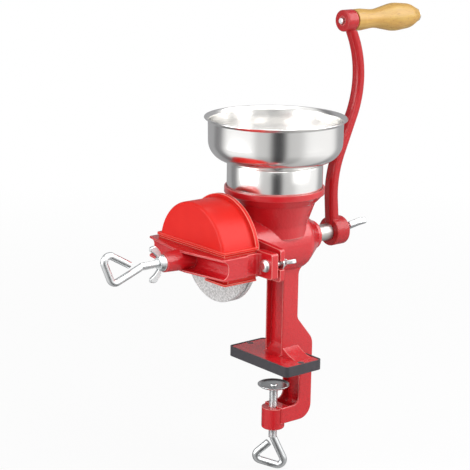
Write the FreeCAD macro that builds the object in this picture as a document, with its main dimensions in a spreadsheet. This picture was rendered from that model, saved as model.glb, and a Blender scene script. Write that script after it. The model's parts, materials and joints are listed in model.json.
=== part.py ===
import FreeCAD, Part
import os
import re
import Sketcher

# Hand grain mill: a cast stand with a table clamp, a steel hopper, two grinding burrs and a crank.
# The shaft runs along X with the crank at +X and the burrs at -X. Z is up.
# The origin is on the hopper's axis, in the plane of the table top that the pad rests on.

os.makedirs("parts", exist_ok=True)
doc = FreeCAD.newDocument("grain_mill")
sheet = doc.addObject("Spreadsheet::Sheet", "Sizes")

# Driving dimensions, in millimetres and degrees. Heights named from the axis start at the shaft.
DRIVING = {
    "Stand": {
        "shaft_height": 134.5,
        "stand_half_width": 14.5,
        "pillar_front": 3.6,
        "pillar_back": 24.8,
        "spine_front": 29.5,
        "spine_back": 47.2,
        "arm_top": -49.0,
        "arm_bottom": -67.3,
        "shoulder_height": 22.5,
        "shoulder_start": 49.5,
        "channel_half_width": 12.4,
        "channel_depth": 6.6,
        "frame_rounding": 1.4,
        "plate_top": 10.4,
        "plate_bottom": 3.0,
        "plate_front": -18.0,
        "plate_back": 29.4,
        "plate_half_width": 46.5,
        "gusset_rise": 8.8,
        "gusset_reach": 22.0,
        "foot_rounding": 13.0,
        "clamp_axis": 5.0,
        "clamp_boss_radius": 12.6,
        "clamp_boss_top": -50.5,
        "clamp_boss_bottom": -74.5,
    },
    "Barrel and funnel": {
        "barrel_radius": 32.5,
        "barrel_bore": 23.5,
        "barrel_end": 28.0,
        "bore_end": 31.0,
        "rear_cone_end": 49.0,
        "rear_cone_radius": 18.4,
        "boss_radius": 15.7,
        "boss_end": 56.0,
        "seat_front": -65.5,
        "seat_radius": 44.0,
        "lug_front": -58.0,
        "lug_back": -52.0,
        "lug_reach": 79.0,
        "lug_bottom": -17.2,
        "lug_tip_top": 16.2,
        "lug_root_top": 19.2,
        "lug_slot_width": 9.0,
        "ring_radius": 53.0,
        "ring_bore": 50.9,
        "ring_top": 60.9,
        "ring_ledge": 56.0,
        "ring_lip_bottom": 54.4,
        "funnel_top_radius": 43.5,
        "funnel_top": 45.4,
        "funnel_waist_radius": 35.2,
        "funnel_waist": 22.0,
        "funnel_foot_radius": 34.4,
        "funnel_foot": 10.0,
    },
    "Hopper": {
        "sheet_thickness": 0.9,
        "neck_radius": 50.3,
        "neck_top": 220.8,
        "groove_radius": 48.6,
        "bowl_bottom": 222.6,
        "bowl_radius": 70.8,
        "bowl_corner": 21.0,
        "wall_top": 264.2,
        "rim_radius": 75.0,
        "rim_height": 268.3,
        "rim_thickness": 1.6,
    },
    "Burrs and shaft": {
        "burr_radius": 51.6,
        "burr_gap": 2.0,
        "fixed_burr_front": -70.5,
        "moving_burr_front": -78.1,
        "burr_feed_radius": 23.5,
        "burr_hub_radius": 12.5,
        "groove_count": 16,
        "groove_width": 2.6,
        "groove_depth": 1.2,
        "carrier_front": -84.1,
        "carrier_radius": 24.0,
        "carrier_hub_front": -91.0,
        "carrier_hub_radius": 12.0,
        "burr_screw_circle": 36.0,
        "carrier_screw_circle": 18.2,
        "small_screw_radius": 2.4,
        "small_head_radius": 4.4,
        "shaft_front": -92.0,
        "shaft_nose_radius": 7.0,
        "shaft_radius": 9.0,
        "shaft_shoulder": 78.3,
        "shaft_tail_radius": 6.5,
        "shaft_tail_flat": 5.2,
        "shaft_end": 96.6,
        "auger_radius": 22.6,
        "auger_start": -57.0,
        "auger_pitch": 27.0,
        "auger_blade": 3.2,
        "auger_length": 81.0,
        "pin_place": -87.5,
        "pin_radius": 2.0,
        "pin_length": 27.0,
        "ball_radius": 4.5,
        "ball_place": -95.4,
        "running_gap": 0.05,
    },
    "Yoke and cover": {
        "yoke_front": -116.8,
        "yoke_web_front": -110.4,
        "yoke_web_back": -104.5,
        "yoke_half_height": 11.0,
        "yoke_half_width": 62.0,
        "yoke_inner": 54.8,
        "cheek_end": -85.6,
        "cheek_step": 2.8,
        "ear_front": -69.0,
        "ear_back": -61.0,
        "ear_half_height": 13.2,
        "yoke_boss_front": -145.4,
        "yoke_boss_radius": 10.9,
        "yoke_boss_tip_radius": 9.8,
        "yoke_nose": 9.5,
        "bolt_place": 69.5,
        "bolt_radius": 3.5,
        "bolt_end": -42.5,
        "bolt_head_radius": 6.6,
        "bolt_head_height": 4.4,
        "cover_front": -110.0,
        "cover_back": -66.0,
        "cover_radius": 53.0,
        "cover_wall": 1.5,
        "cover_flange": 56.5,
        "cover_flange_width": 4.2,
        "dome_rise": 4.3,
        "ledge_bottom": 13.6,
        "ledge_half_width": 56.0,
        "cover_ledge": 2.6,
        "cover_ledge_reach": 1.5,
        "skirt_front": -104.1,
        "skirt_back": -68.0,
        "skirt_half_width": 53.2,
        "skirt_wall": 1.2,
        "skirt_bottom": -17.3,
        "snap_lip": 2.0,
        "snap_lip_reach": 1.0,
        "snap_lip_front": -109.2,
        "screw_slot": 12.0,
    },
    "Screws with loops": {
        "adjust_radius": 3.8,
        "adjust_tip": -100.0,
        "adjust_loop_start": -171.5,
        "adjust_wire": 3.7,
        "clamp_radius": 4.6,
        "clamp_wire": 4.1,
        "clamp_loop_start": -84.6,
        "disc_radius": 18.0,
        "disc_top": -24.6,
        "disc_depth": 2.8,
        "disc_sheet": 1.3,
        "rivet_radius": 3.0,
        "rivet_head": 4.3,
    },
    "Wing nuts and washers": {
        "washer_thickness": 1.4,
        "nut_hub": 5.8,
        "nut_height": 5.4,
        "nut_span": 13.5,
        "nut_rise": 12.0,
        "nut_wing": 4.4,
        "nut_rounding": 1.0,
        "lock_hub": 8.0,
        "lock_height": 4.6,
        "lock_span": 19.5,
        "lock_rise": 14.5,
        "lock_wing": 3.6,
        "lock_rounding": 0.9,
        "thumb_hub": 7.0,
        "thumb_height": 8.0,
        "thumb_span": 20.5,
        "thumb_rise": 22.0,
        "thumb_wing": 6.8,
        "thumb_rounding": 1.5,
    },
    "Crank": {
        "crank_radius": 227.6,
        "crank_hub_front": 78.5,
        "crank_hub_back": 97.0,
        "crank_hub_radius": 15.7,
        "crank_eye_front": 89.4,
        "crank_eye_back": 104.0,
        "crank_eye_radius": 11.5,
        "arm_half_thickness": 6.0,
        "arm_half_width": 7.2,
        "arm_tip_half_thickness": 5.2,
        "arm_tip_half_width": 6.3,
        "arm_root": 83.6,
        "arm_foot": 79.2,
        "arm_foot_height": 61.8,
        "arm_foot_bend": 107.0,
        "arm_bow": 125.3,
        "arm_bow_height": 167.4,
        "arm_bow_bend": 104.0,
        "arm_top_place": 98.0,
        "crank_screw_radius": 4.0,
        "crank_screw_length": 14.0,
        "handle_bolt_radius": 3.2,
        "handle_bolt_head": 6.4,
        "grip_start": 104.8,
        "grip_end": 199.2,
        "grip_collar": 11.3,
        "grip_waist": 9.6,
        "grip_belly": 15.5,
        "grip_tip": 7.2,
        "grip_bore": 3.4,
    },
    "Rubber pad": {
        "pad_height": 10.8,
        "pad_wall": 1.7,
        "pad_clearance": 0.1,
        "pad_corner": 5.5,
        "stud_radius": 3.5,
        "stud_place": 42.0,
        "stud_across": 6.2,
    },
}


def fill_sheet():
    row = 1
    for group, values in DRIVING.items():
        sheet.set("A%d" % row, group)
        row += 1
        for name, value in values.items():
            sheet.set("A%d" % row, name)
            sheet.set("B%d" % row, str(value))
            sheet.setAlias("B%d" % row, name)
            row += 1
    doc.recompute()


fill_sheet()
NAMES = {name for values in DRIVING.values() for name in values}
SUBPARTS = []
UP = FreeCAD.Vector(0, 0, 1)


def bound(text):
    """Rewrites plain dimension names as references to the sheet."""
    return re.sub(r"[a-z][a-z_]*", lambda m: "Sizes." + m.group() if m.group() in NAMES else m.group(), text)


def value(text):
    return float(sheet.evalExpression(bound(str(text))))


def new_body(label, across="0", along="0", up="0", turned=None):
    """A sub-part with its own Placement, bound to the sheet."""
    body = doc.addObject("PartDesign::Body", label)
    body.Label = label
    if turned is not None:
        body.Placement = FreeCAD.Placement(FreeCAD.Vector(), turned)
    for side, text in (("x", across), ("y", along), ("z", up)):
        if text != "0":
            body.setExpression("Placement.Base." + side, bound(text))
    SUBPARTS.append(body)
    return body


def on_shaft(label):
    """A sub-part whose own frame lies on the shaft's axis."""
    return new_body(label, up="shaft_height")


def constrain(sketch, kind, text, *where):
    index = sketch.addConstraint(Sketcher.Constraint(kind, *where, value(text)))
    sketch.setExpression("Constraints[%d]" % index, bound(str(text)))


def add_outline(sketch, corners, closed=True):
    """Straight edges between corners (x, y) or (x, y, radius), where a radius rounds the corner."""
    spots = [FreeCAD.Vector(value(c[0]), value(c[1]), 0) for c in corners]
    first = len(sketch.Geometry)
    count = len(corners) if closed else len(corners) - 1
    for i in range(count):
        sketch.addGeometry(Part.LineSegment(spots[i], spots[(i + 1) % len(spots)]), False)
    for i in range(count if closed else count - 1):
        following = first + (i + 1) % count
        sketch.addConstraint(Sketcher.Constraint("Coincident", first + i, 2, following, 1))
    for i, corner in enumerate(corners):
        edge, end = (first + i, 1) if i < count else (first + i - 1, 2)
        constrain(sketch, "DistanceX", corner[0], -1, 1, edge, end)
        constrain(sketch, "DistanceY", corner[1], -1, 1, edge, end)
    for i, corner in enumerate(corners):
        if len(corner) > 2:
            sketch.fillet(first + i, 1, value(corner[2]), True, True)
            arc = max(n for n, shape in enumerate(sketch.Geometry) if shape.TypeId == "Part::GeomArcOfCircle")
            constrain(sketch, "Radius", corner[2], arc)


def add_circle(sketch, across, up, radius):
    middle = FreeCAD.Vector(value(across), value(up), 0)
    index = sketch.addGeometry(Part.Circle(middle, UP, value(radius)), False)
    constrain(sketch, "DistanceX", across, -1, 1, index, 3)
    constrain(sketch, "DistanceY", up, -1, 1, index, 3)
    constrain(sketch, "Radius", radius, index)


def new_sketch(body, name, plane, outlines=(), circles=(), start="0"):
    sketch = body.newObject("Sketcher::SketchObject", name)
    origin = [f for f in body.Origin.OriginFeatures if f.Role == plane][0]
    sketch.AttachmentSupport = [(origin, "")]
    sketch.MapMode = "FlatFace"
    if start != "0":
        sketch.setExpression("AttachmentOffset.Base.z", bound(start))
    for corners in outlines:
        add_outline(sketch, corners)
    for circle in circles:
        add_circle(sketch, *circle)
    return sketch


def feature(body, kind, name, sketch, **settings):
    """Adds a feature made from a sketch, and tests that it changed the body's volume as it should."""
    doc.recompute()
    before = body.Shape.Volume if body.Tip is not None and not body.Shape.isNull() else 0.0
    made = body.newObject(kind, name)
    made.Profile = sketch
    for key, setting in settings.items():
        if key in ("Length", "Height", "Pitch"):
            made.setExpression(key, bound(setting))
        else:
            setattr(made, key, setting)
    doc.recompute()
    change = body.Shape.Volume - before
    removes = kind in ("PartDesign::Pocket", "PartDesign::Groove")
    if (change >= 0) == removes or abs(change) < 1e-3:
        raise RuntimeError("%s of %s changed the volume by %.3f" % (name, body.Label, change))
    return made


def pad(body, name, plane, length, start="0", symmetric=False, **shapes):
    sketch = new_sketch(body, name + "_sketch", plane, start=start, **shapes)
    side = "Symmetric" if symmetric else "One side"
    return feature(body, "PartDesign::Pad", name, sketch, Length=length, SideType=side)


def cut(body, name, plane, length, start="0", symmetric=False, **shapes):
    """Removes material from the sketch's plane onwards, along the plane's own direction."""
    sketch = new_sketch(body, name + "_sketch", plane, start=start, **shapes)
    side = "Symmetric" if symmetric else "One side"
    return feature(body, "PartDesign::Pocket", name, sketch, Length=length, SideType=side,
                   Reversed=not symmetric)


def turn(body, name, corners, axis="H_Axis"):
    """A turned solid: the outline lies in the XZ plane and spins about X or Z."""
    sketch = new_sketch(body, name + "_sketch", "XZ_Plane", outlines=[corners])
    return feature(body, "PartDesign::Revolution", name, sketch, ReferenceAxis=(sketch, [axis]))


def bore(body, name, corners, axis="H_Axis"):
    sketch = new_sketch(body, name + "_sketch", "XZ_Plane", outlines=[corners])
    return feature(body, "PartDesign::Groove", name, sketch, ReferenceAxis=(sketch, [axis]))


def round_edges(body, name, radius, wanted):
    """Rounds the edges whose middle point passes the test."""
    doc.recompute()
    base = body.Tip
    chosen = []
    for number, edge in enumerate(base.Shape.Edges, 1):
        middle = edge.valueAt((edge.FirstParameter + edge.LastParameter) / 2)
        if wanted(middle, edge):
            chosen.append("Edge%d" % number)
    made = body.newObject("PartDesign::Fillet", name)
    made.Base = (base, chosen)
    made.setExpression("Radius", bound(radius))
    doc.recompute()
    if "Invalid" in made.State or not body.Shape.isValid():
        raise RuntimeError("%s of %s failed on %d edges" % (name, body.Label, len(chosen)))
    return made


def box(low_x, high_x, low_y, high_y):
    """The four corners of a rectangle, as texts."""
    return [(low_x, low_y), (high_x, low_y), (high_x, high_y), (low_x, high_y)]


def near(number, text, reach=0.05):
    return abs(number - value(text)) < reach


def make_hopper():
    """A spun steel bowl on a straight neck, with an out-turned rim."""
    body = new_body("hopper")
    inner_wall = "bowl_radius - sheet_thickness"
    inner_neck = "neck_radius - sheet_thickness"
    neck_bottom = "shaft_height + ring_ledge"
    turn(body, "sheet", [
        ("neck_radius", neck_bottom),
        ("neck_radius", "neck_top", "1.5"),
        ("groove_radius", "neck_top + 0.5", "0.4"),
        ("groove_radius", "bowl_bottom", "0.6"),
        ("bowl_radius - 0.8", "bowl_bottom", "bowl_corner"),
        ("bowl_radius", "wall_top", "1.2"),
        ("rim_radius - 0.9", "rim_height - rim_thickness", "0.5"),
        ("rim_radius", "rim_height - 1.1", "0.6"),
        ("rim_radius - 0.5", "rim_height", "0.6"),
        ("rim_radius - 2.6", "rim_height - 0.1", "0.8"),
        (inner_wall, "wall_top + 0.5", "1.6"),
        ("bowl_radius - 0.8 - sheet_thickness", "bowl_bottom + sheet_thickness",
         "bowl_corner - sheet_thickness"),
        ("groove_radius - sheet_thickness", "bowl_bottom + sheet_thickness", "1.2"),
        ("groove_radius - sheet_thickness", "neck_top - 0.4", "0.4"),
        (inner_neck, "neck_top - 0.9", "0.5"),
        (inner_neck, neck_bottom),
    ], axis="V_Axis")
    return body


def stand_side():
    """The side view of the pillar, the spine and the lower arm, with heights from the shaft."""
    return [
        ("pillar_front", "-20"),
        ("pillar_front", "plate_bottom - shaft_height"),
        ("spine_front", "plate_bottom - shaft_height"),
        ("spine_front", "arm_top - shaft_height", "8"),
        ("clamp_axis", "arm_top - shaft_height"),
        ("clamp_axis", "arm_bottom - shaft_height"),
        ("spine_back", "arm_bottom - shaft_height", "16"),
        ("spine_back", "shoulder_height - shaft_height", "17"),
        ("pillar_back", "shoulder_start - shaft_height", "9"),
        ("pillar_back", "-barrel_radius + 2", "10"),
        ("pillar_back + 14", "-barrel_radius + 8"),
        ("pillar_back + 4", "-20"),
    ]


def make_body_casting():
    """The cast stand: throat ring, funnel, barrel, lugs, pillar, base plate and clamp arm."""
    body = on_shaft("body_casting")
    pad(body, "frame", "XZ_Plane", "2 * stand_half_width", symmetric=True, outlines=[stand_side()])
    half = value("stand_half_width")
    round_edges(body, "frame_edges", "frame_rounding",
                lambda p, e: abs(abs(p.y) - half) < 0.01 and p.z < -25 and p.x > value("clamp_axis") - 5)
    cut(body, "pillar_channel", "YZ_Plane", "channel_depth + 1", start="pillar_front - 1", outlines=[[
        ("-channel_half_width", "plate_top - shaft_height + 1", "3"),
        ("channel_half_width", "plate_top - shaft_height + 1", "3"),
        ("channel_half_width", "-34", "6"),
        ("-channel_half_width", "-34", "6"),
    ]])
    cut(body, "pillar_back_channel", "YZ_Plane", "channel_depth + 1", start="pillar_back - channel_depth",
        outlines=[[
            ("-channel_half_width", "shoulder_start - shaft_height + 8", "5"),
            ("channel_half_width", "shoulder_start - shaft_height + 8", "5"),
            ("channel_half_width", "-38", "6"),
            ("-channel_half_width", "-38", "6"),
        ]])
    channel_floor = "arm_top - shaft_height - channel_depth"
    channel_back = "spine_front + channel_depth"
    cut(body, "arm_channel", "XZ_Plane", "2 * channel_half_width", symmetric=True, outlines=[[
        ("clamp_axis + clamp_boss_radius - 2", channel_floor),
        (channel_back, channel_floor, "7"),
        (channel_back, "plate_bottom - shaft_height - 5", "3"),
        ("clamp_axis + clamp_boss_radius - 2", "plate_bottom - shaft_height - 5"),
    ]])
    add_plate(body)
    add_barrel(body)
    add_clamp_boss(body)
    return body


def add_plate(body):
    top = "plate_top - shaft_height"
    pad(body, "plate", "XY_Plane", "plate_top - plate_bottom", start="plate_bottom - shaft_height", outlines=[[
        ("plate_front", "-plate_half_width", "pad_corner - pad_wall"),
        ("plate_back", "-plate_half_width", "pad_corner - pad_wall"),
        ("plate_back", "plate_half_width", "pad_corner - pad_wall"),
        ("plate_front", "plate_half_width", "pad_corner - pad_wall"),
    ]])
    round_edges(body, "plate_edges", "0.9",
                lambda p, e: near(p.z, top) and (abs(p.y) > value("stand_half_width") + 2
                                                 or p.x < value("pillar_front") - 2))
    reach = "stand_half_width + gusset_reach"
    pad(body, "gusset", "YZ_Plane", "pillar_back - pillar_front", start="pillar_front + 0.6", outlines=[[
        ("-(%s)" % reach, top + " - 2"),
        ("-channel_half_width - 1", top + " - 2"),
        ("-channel_half_width - 1", top + " + gusset_rise"),
        ("-stand_half_width", top + " + gusset_rise"),
        ("-stand_half_width - 0.45 * gusset_reach", top + " + 0.4 * gusset_rise", "40"),
        ("-(%s)" % reach, top + " - 0.2"),
    ]])
    foot_back = "pillar_front + channel_depth + 0.2"
    pad(body, "front_foot", "XZ_Plane", "2 * (stand_half_width - frame_rounding)", symmetric=True, outlines=[[
        (foot_back + " - foot_rounding - 1", top + " - 0.2"),
        (foot_back, top + " - 0.2", "foot_rounding"),
        (foot_back, top + " + foot_rounding + 1"),
        (foot_back + " + 1", top + " + foot_rounding + 1"),
        (foot_back + " + 1", top + " - 2"),
        (foot_back + " - foot_rounding - 1", top + " - 2"),
    ]])
    cut(body, "stud_holes", "XY_Plane", "plate_top", start="plate_bottom - shaft_height - 1", circles=[
        ("stud_across", "stud_place", "stud_radius + 0.1"),
        ("stud_across", "-stud_place", "stud_radius + 0.1"),
    ])


def add_barrel(body):
    turn(body, "barrel", [
        ("seat_front", "0"),
        ("seat_front", "seat_radius", "1"),
        ("lug_front", "seat_radius"),
        ("lug_front", "barrel_radius"),
        ("barrel_end", "barrel_radius", "12"),
        ("rear_cone_end", "rear_cone_radius", "2"),
        ("rear_cone_end + 0.6", "boss_radius", "0.8"),
        ("boss_end", "boss_radius", "1.6"),
        ("boss_end", "0"),
    ])
    pad(body, "lugs", "YZ_Plane", "lug_back - lug_front", start="lug_front", outlines=[[
        ("-lug_reach", "lug_bottom", "3"),
        ("lug_reach", "lug_bottom", "3"),
        ("lug_reach", "lug_tip_top", "3"),
        ("seat_radius", "lug_root_top", "6"),
        ("-seat_radius", "lug_root_top", "6"),
        ("-lug_reach", "lug_tip_top", "3"),
    ]])
    round_edges(body, "lug_edges", "0.9",
                lambda p, e: near(p.x, "lug_back") and abs(p.y) > value("barrel_radius") + 1)
    turn(body, "funnel", [
        ("0", "ring_top"),
        ("ring_radius - 0.2", "ring_top", "0.6"),
        ("ring_radius", "ring_lip_bottom", "1.2"),
        ("ring_radius - 2.2", "ring_lip_bottom - 1.6", "0.6"),
        ("funnel_top_radius + 2.4", "funnel_top + 2", "2"),
        ("funnel_top_radius", "funnel_top", "3"),
        ("funnel_waist_radius", "funnel_waist", "14"),
        ("funnel_foot_radius", "funnel_foot"),
        ("0", "funnel_foot"),
    ], axis="V_Axis")
    bore(body, "funnel_hollow", [
        ("0", "ring_top + 1"),
        ("ring_bore", "ring_top + 1"),
        ("ring_bore", "ring_ledge"),
        ("ring_bore - 6", "ring_ledge", "2"),
        ("funnel_top_radius - 4", "funnel_top", "3"),
        ("funnel_waist_radius - 5", "funnel_waist", "8"),
        ("barrel_bore - 4", "6"),
        ("barrel_bore - 4", "0"),
        ("0", "0"),
    ], axis="V_Axis")
    bore(body, "barrel_hollow", [
        ("seat_front - 1", "0"),
        ("seat_front - 1", "barrel_bore"),
        ("bore_end", "barrel_bore", "4"),
        ("bore_end + 7", "shaft_radius + running_gap + 3"),
        ("bore_end + 7", "shaft_radius + running_gap"),
        ("boss_end + 1", "shaft_radius + running_gap"),
        ("boss_end + 1", "0"),
    ])
    half_slot = "lug_slot_width / 2"
    cut(body, "lug_slots", "YZ_Plane", "lug_back - lug_front + 2", start="lug_front - 1", outlines=[
        [("bolt_place - 5", "-(%s)" % half_slot, "2"), ("lug_reach + 2", "-(%s)" % half_slot),
         ("lug_reach + 2", half_slot), ("bolt_place - 5", half_slot, "2")],
        [("-bolt_place + 5", "-(%s)" % half_slot, "2"), ("-bolt_place + 5", half_slot, "2"),
         ("-lug_reach - 2", half_slot), ("-lug_reach - 2", "-(%s)" % half_slot)],
    ])
    cut(body, "burr_screw_holes", "YZ_Plane", "9", start="seat_front - 1", circles=[
        ("0", "burr_screw_circle", "small_screw_radius"),
        ("0", "-burr_screw_circle", "small_screw_radius"),
    ])


def add_clamp_boss(body):
    bottom = "clamp_boss_bottom - shaft_height"
    pad(body, "clamp_boss", "XY_Plane", "clamp_boss_top - clamp_boss_bottom", start=bottom,
        circles=[("clamp_axis", "0", "clamp_boss_radius")])
    round_edges(body, "clamp_boss_edges", "2.2", lambda p, e: near(p.z, bottom))
    cut(body, "clamp_thread", "XY_Plane", "clamp_boss_top - clamp_boss_bottom + 4", start=bottom + " - 2",
        circles=[("clamp_axis", "0", "clamp_radius + running_gap")])


def make_base_pad():
    """The dark rubber tray under the base plate, with two studs through the plate."""
    body = new_body("base_pad")
    outer = "pad_wall + pad_clearance"
    pad(body, "tray", "XY_Plane", "pad_height", outlines=[[
        ("plate_front - (%s)" % outer, "-plate_half_width - (%s)" % outer, "pad_corner"),
        ("plate_back + (%s)" % outer, "-plate_half_width - (%s)" % outer, "pad_corner"),
        ("plate_back + (%s)" % outer, "plate_half_width + (%s)" % outer, "pad_corner"),
        ("plate_front - (%s)" % outer, "plate_half_width + (%s)" % outer, "pad_corner"),
    ]])
    cut(body, "tray_hollow", "XY_Plane", "pad_height", start="plate_bottom", outlines=[[
        ("plate_front - pad_clearance", "-plate_half_width - pad_clearance", "pad_corner - pad_wall"),
        ("plate_back + pad_clearance", "-plate_half_width - pad_clearance", "pad_corner - pad_wall"),
        ("plate_back + pad_clearance", "plate_half_width + pad_clearance", "pad_corner - pad_wall"),
        ("plate_front - pad_clearance", "plate_half_width + pad_clearance", "pad_corner - pad_wall"),
    ]])
    cut(body, "spine_notch", "XY_Plane", "pad_height + 2", start="-1", outlines=[
        box("spine_front - 0.05", "spine_front + 10", "-stand_half_width - 0.2", "stand_half_width + 0.2")])
    pad(body, "studs", "XY_Plane", "plate_top", circles=[
        ("stud_across", "stud_place", "stud_radius"),
        ("stud_across", "-stud_place", "stud_radius"),
    ])
    return body


def make_yoke():
    """The cast yoke that straddles the burrs and carries the adjusting screw."""
    body = on_shaft("yoke")
    side = [
        ("yoke_front - yoke_nose", "yoke_boss_radius - 1"),
        ("yoke_front", "yoke_half_width", "1.6"),
        ("cheek_end", "yoke_half_width", "0.8"),
        ("cheek_end + 1", "yoke_half_width - cheek_step", "0.8"),
        ("ear_front", "yoke_half_width - cheek_step", "5"),
        ("ear_front", "bolt_place - bolt_radius - 1"),
        ("ear_back", "bolt_place - bolt_radius - 1"),
        ("ear_back", "yoke_inner"),
        ("yoke_web_back", "yoke_inner", "4"),
    ]
    mirrored = [(c[0], "-(%s)" % c[1]) + tuple(c[2:]) for c in side]
    pad(body, "frame", "XY_Plane", "2 * yoke_half_height", symmetric=True,
        outlines=[side + mirrored[::-1]])
    cut(body, "front_channel", "XZ_Plane", "2 * yoke_half_width + 4", symmetric=True, outlines=[[
        ("yoke_front - yoke_nose - 1", "-yoke_half_height + 2.1"),
        ("yoke_web_front", "-yoke_half_height + 2.1", "7.5"),
        ("yoke_web_front", "yoke_half_height - 2.1", "7.5"),
        ("yoke_front - yoke_nose - 1", "yoke_half_height - 2.1"),
    ]])
    half_height = value("yoke_half_height")
    outside = value("yoke_half_width")
    round_edges(body, "rim_edges", "0.7",
                lambda p, e: abs(abs(p.z) - half_height) < 0.01 and p.x < value("cheek_end") - 1
                and (abs(p.y) > outside - 0.9 or p.x < value("yoke_front") + 0.1))
    pad(body, "ears", "YZ_Plane", "ear_back - ear_front", start="ear_front", outlines=[
        [("yoke_inner", "-ear_half_height"), ("lug_reach", "-ear_half_height", "2.5"),
         ("lug_reach", "ear_half_height", "2.5"), ("yoke_inner", "ear_half_height")],
        [("-yoke_inner", "ear_half_height"), ("-lug_reach", "ear_half_height", "2.5"),
         ("-lug_reach", "-ear_half_height", "2.5"), ("-yoke_inner", "-ear_half_height")],
    ])
    turn(body, "screw_boss", [
        ("yoke_boss_front", "0"),
        ("yoke_boss_front", "yoke_boss_tip_radius", "0.6"),
        ("yoke_front - yoke_nose + 1", "yoke_boss_radius", "8"),
        ("yoke_web_back", "yoke_boss_radius"),
        ("yoke_web_back", "0"),
    ])
    pad(body, "ear_pads", "YZ_Plane", "lug_front - ear_back", start="ear_back", outlines=[
        box("yoke_inner", "yoke_half_width", "-yoke_half_height", "yoke_half_height"),
        box("-yoke_half_width", "-yoke_inner", "-yoke_half_height", "yoke_half_height"),
    ])
    cut(body, "screw_thread", "YZ_Plane", "yoke_web_back - yoke_boss_front + 2", start="yoke_boss_front - 1",
        circles=[("0", "0", "adjust_radius + running_gap")])
    cut(body, "bolt_holes", "YZ_Plane", "ear_back - ear_front + 2", start="ear_front - 1", circles=[
        ("bolt_place", "0", "bolt_radius + running_gap"),
        ("-bolt_place", "0", "bolt_radius + running_gap"),
    ])
    return body


def make_burr_cover():
    """The moulded cover: a dome over the burrs, a ledge on the yoke and a skirt that snaps under it."""
    body = on_shaft("burr_cover")
    ledge_top = "ledge_bottom + cover_ledge"
    dome = new_sketch(body, "dome_sketch", "YZ_Plane", start="cover_front")
    add_dome(dome, "ledge_bottom", ledge_top, "cover_radius")
    feature(body, "PartDesign::Pad", "dome", dome, Length="cover_back - cover_front")
    front = value("cover_front")
    round_edges(body, "dome_edge", "2.6", lambda p, e: abs(p.x - front) < 0.01 and p.z > value(ledge_top) + 5)
    pad(body, "ledge", "XY_Plane", "cover_ledge", start="ledge_bottom", outlines=[[
        ("cover_front - cover_ledge_reach", "-ledge_half_width", "1.5"),
        ("cover_back - 1", "-ledge_half_width"),
        ("cover_back - 1", "ledge_half_width"),
        ("cover_front - cover_ledge_reach", "ledge_half_width", "1.5"),
    ]])
    round_edges(body, "ledge_edges", "0.7", lambda p, e: near(p.z, ledge_top) and (
        near(p.x, "cover_front - cover_ledge_reach") or abs(p.y) > value("ledge_half_width") - 0.5))
    rim = new_sketch(body, "flange_sketch", "YZ_Plane", start="cover_back - cover_flange_width")
    add_dome(rim, "ledge_bottom", ledge_top, "cover_flange")
    feature(body, "PartDesign::Pad", "flange", rim, Length="cover_flange_width")
    pad(body, "seat", "XY_Plane", "ledge_bottom - yoke_half_height + 0.2", start="yoke_half_height", outlines=[
        box("cover_front", "cover_back - 1", "-ledge_half_width + 1.4", "ledge_half_width - 1.4")])
    pad(body, "skirt", "YZ_Plane", "skirt_back - skirt_front", start="skirt_front", outlines=[
        box("-skirt_half_width", "skirt_half_width", "skirt_bottom", "yoke_half_height + 1")])
    pad(body, "snap_lip", "XY_Plane", "snap_lip", start="skirt_bottom - snap_lip", outlines=[[
        ("snap_lip_front", "-skirt_half_width - snap_lip_reach", "1.5"),
        ("skirt_back", "-skirt_half_width - snap_lip_reach"),
        ("skirt_back", "skirt_half_width + snap_lip_reach"),
        ("snap_lip_front", "skirt_half_width + snap_lip_reach", "1.5"),
    ]])
    hollow = new_sketch(body, "dome_hollow_sketch", "YZ_Plane", start="cover_front + cover_wall")
    add_dome(hollow, "ledge_bottom - 0.8", ledge_top, "cover_radius - cover_wall")
    feature(body, "PartDesign::Pocket", "dome_hollow", hollow, Length="cover_back - cover_front",
            Reversed=True)
    inner = "skirt_half_width - skirt_wall"
    cut(body, "skirt_hollow", "YZ_Plane", "cover_back - skirt_front", start="skirt_front + skirt_wall",
        outlines=[box("-(%s)" % inner, inner, "skirt_bottom - snap_lip - 1", "ledge_bottom")])
    cut(body, "screw_slot", "YZ_Plane", "skirt_front + skirt_wall - snap_lip_front + 2",
        start="snap_lip_front - 1", outlines=[[
            ("-2 * screw_slot", "skirt_bottom - snap_lip - 1"),
            ("2 * screw_slot", "skirt_bottom - snap_lip - 1"),
            ("2 * screw_slot - 4", "skirt_bottom + 2"),
            ("screw_slot", "yoke_half_height - 3", "4"),
            ("-screw_slot", "yoke_half_height - 3", "4"),
            ("-2 * screw_slot + 4", "skirt_bottom + 2"),
        ]])
    return body


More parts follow.
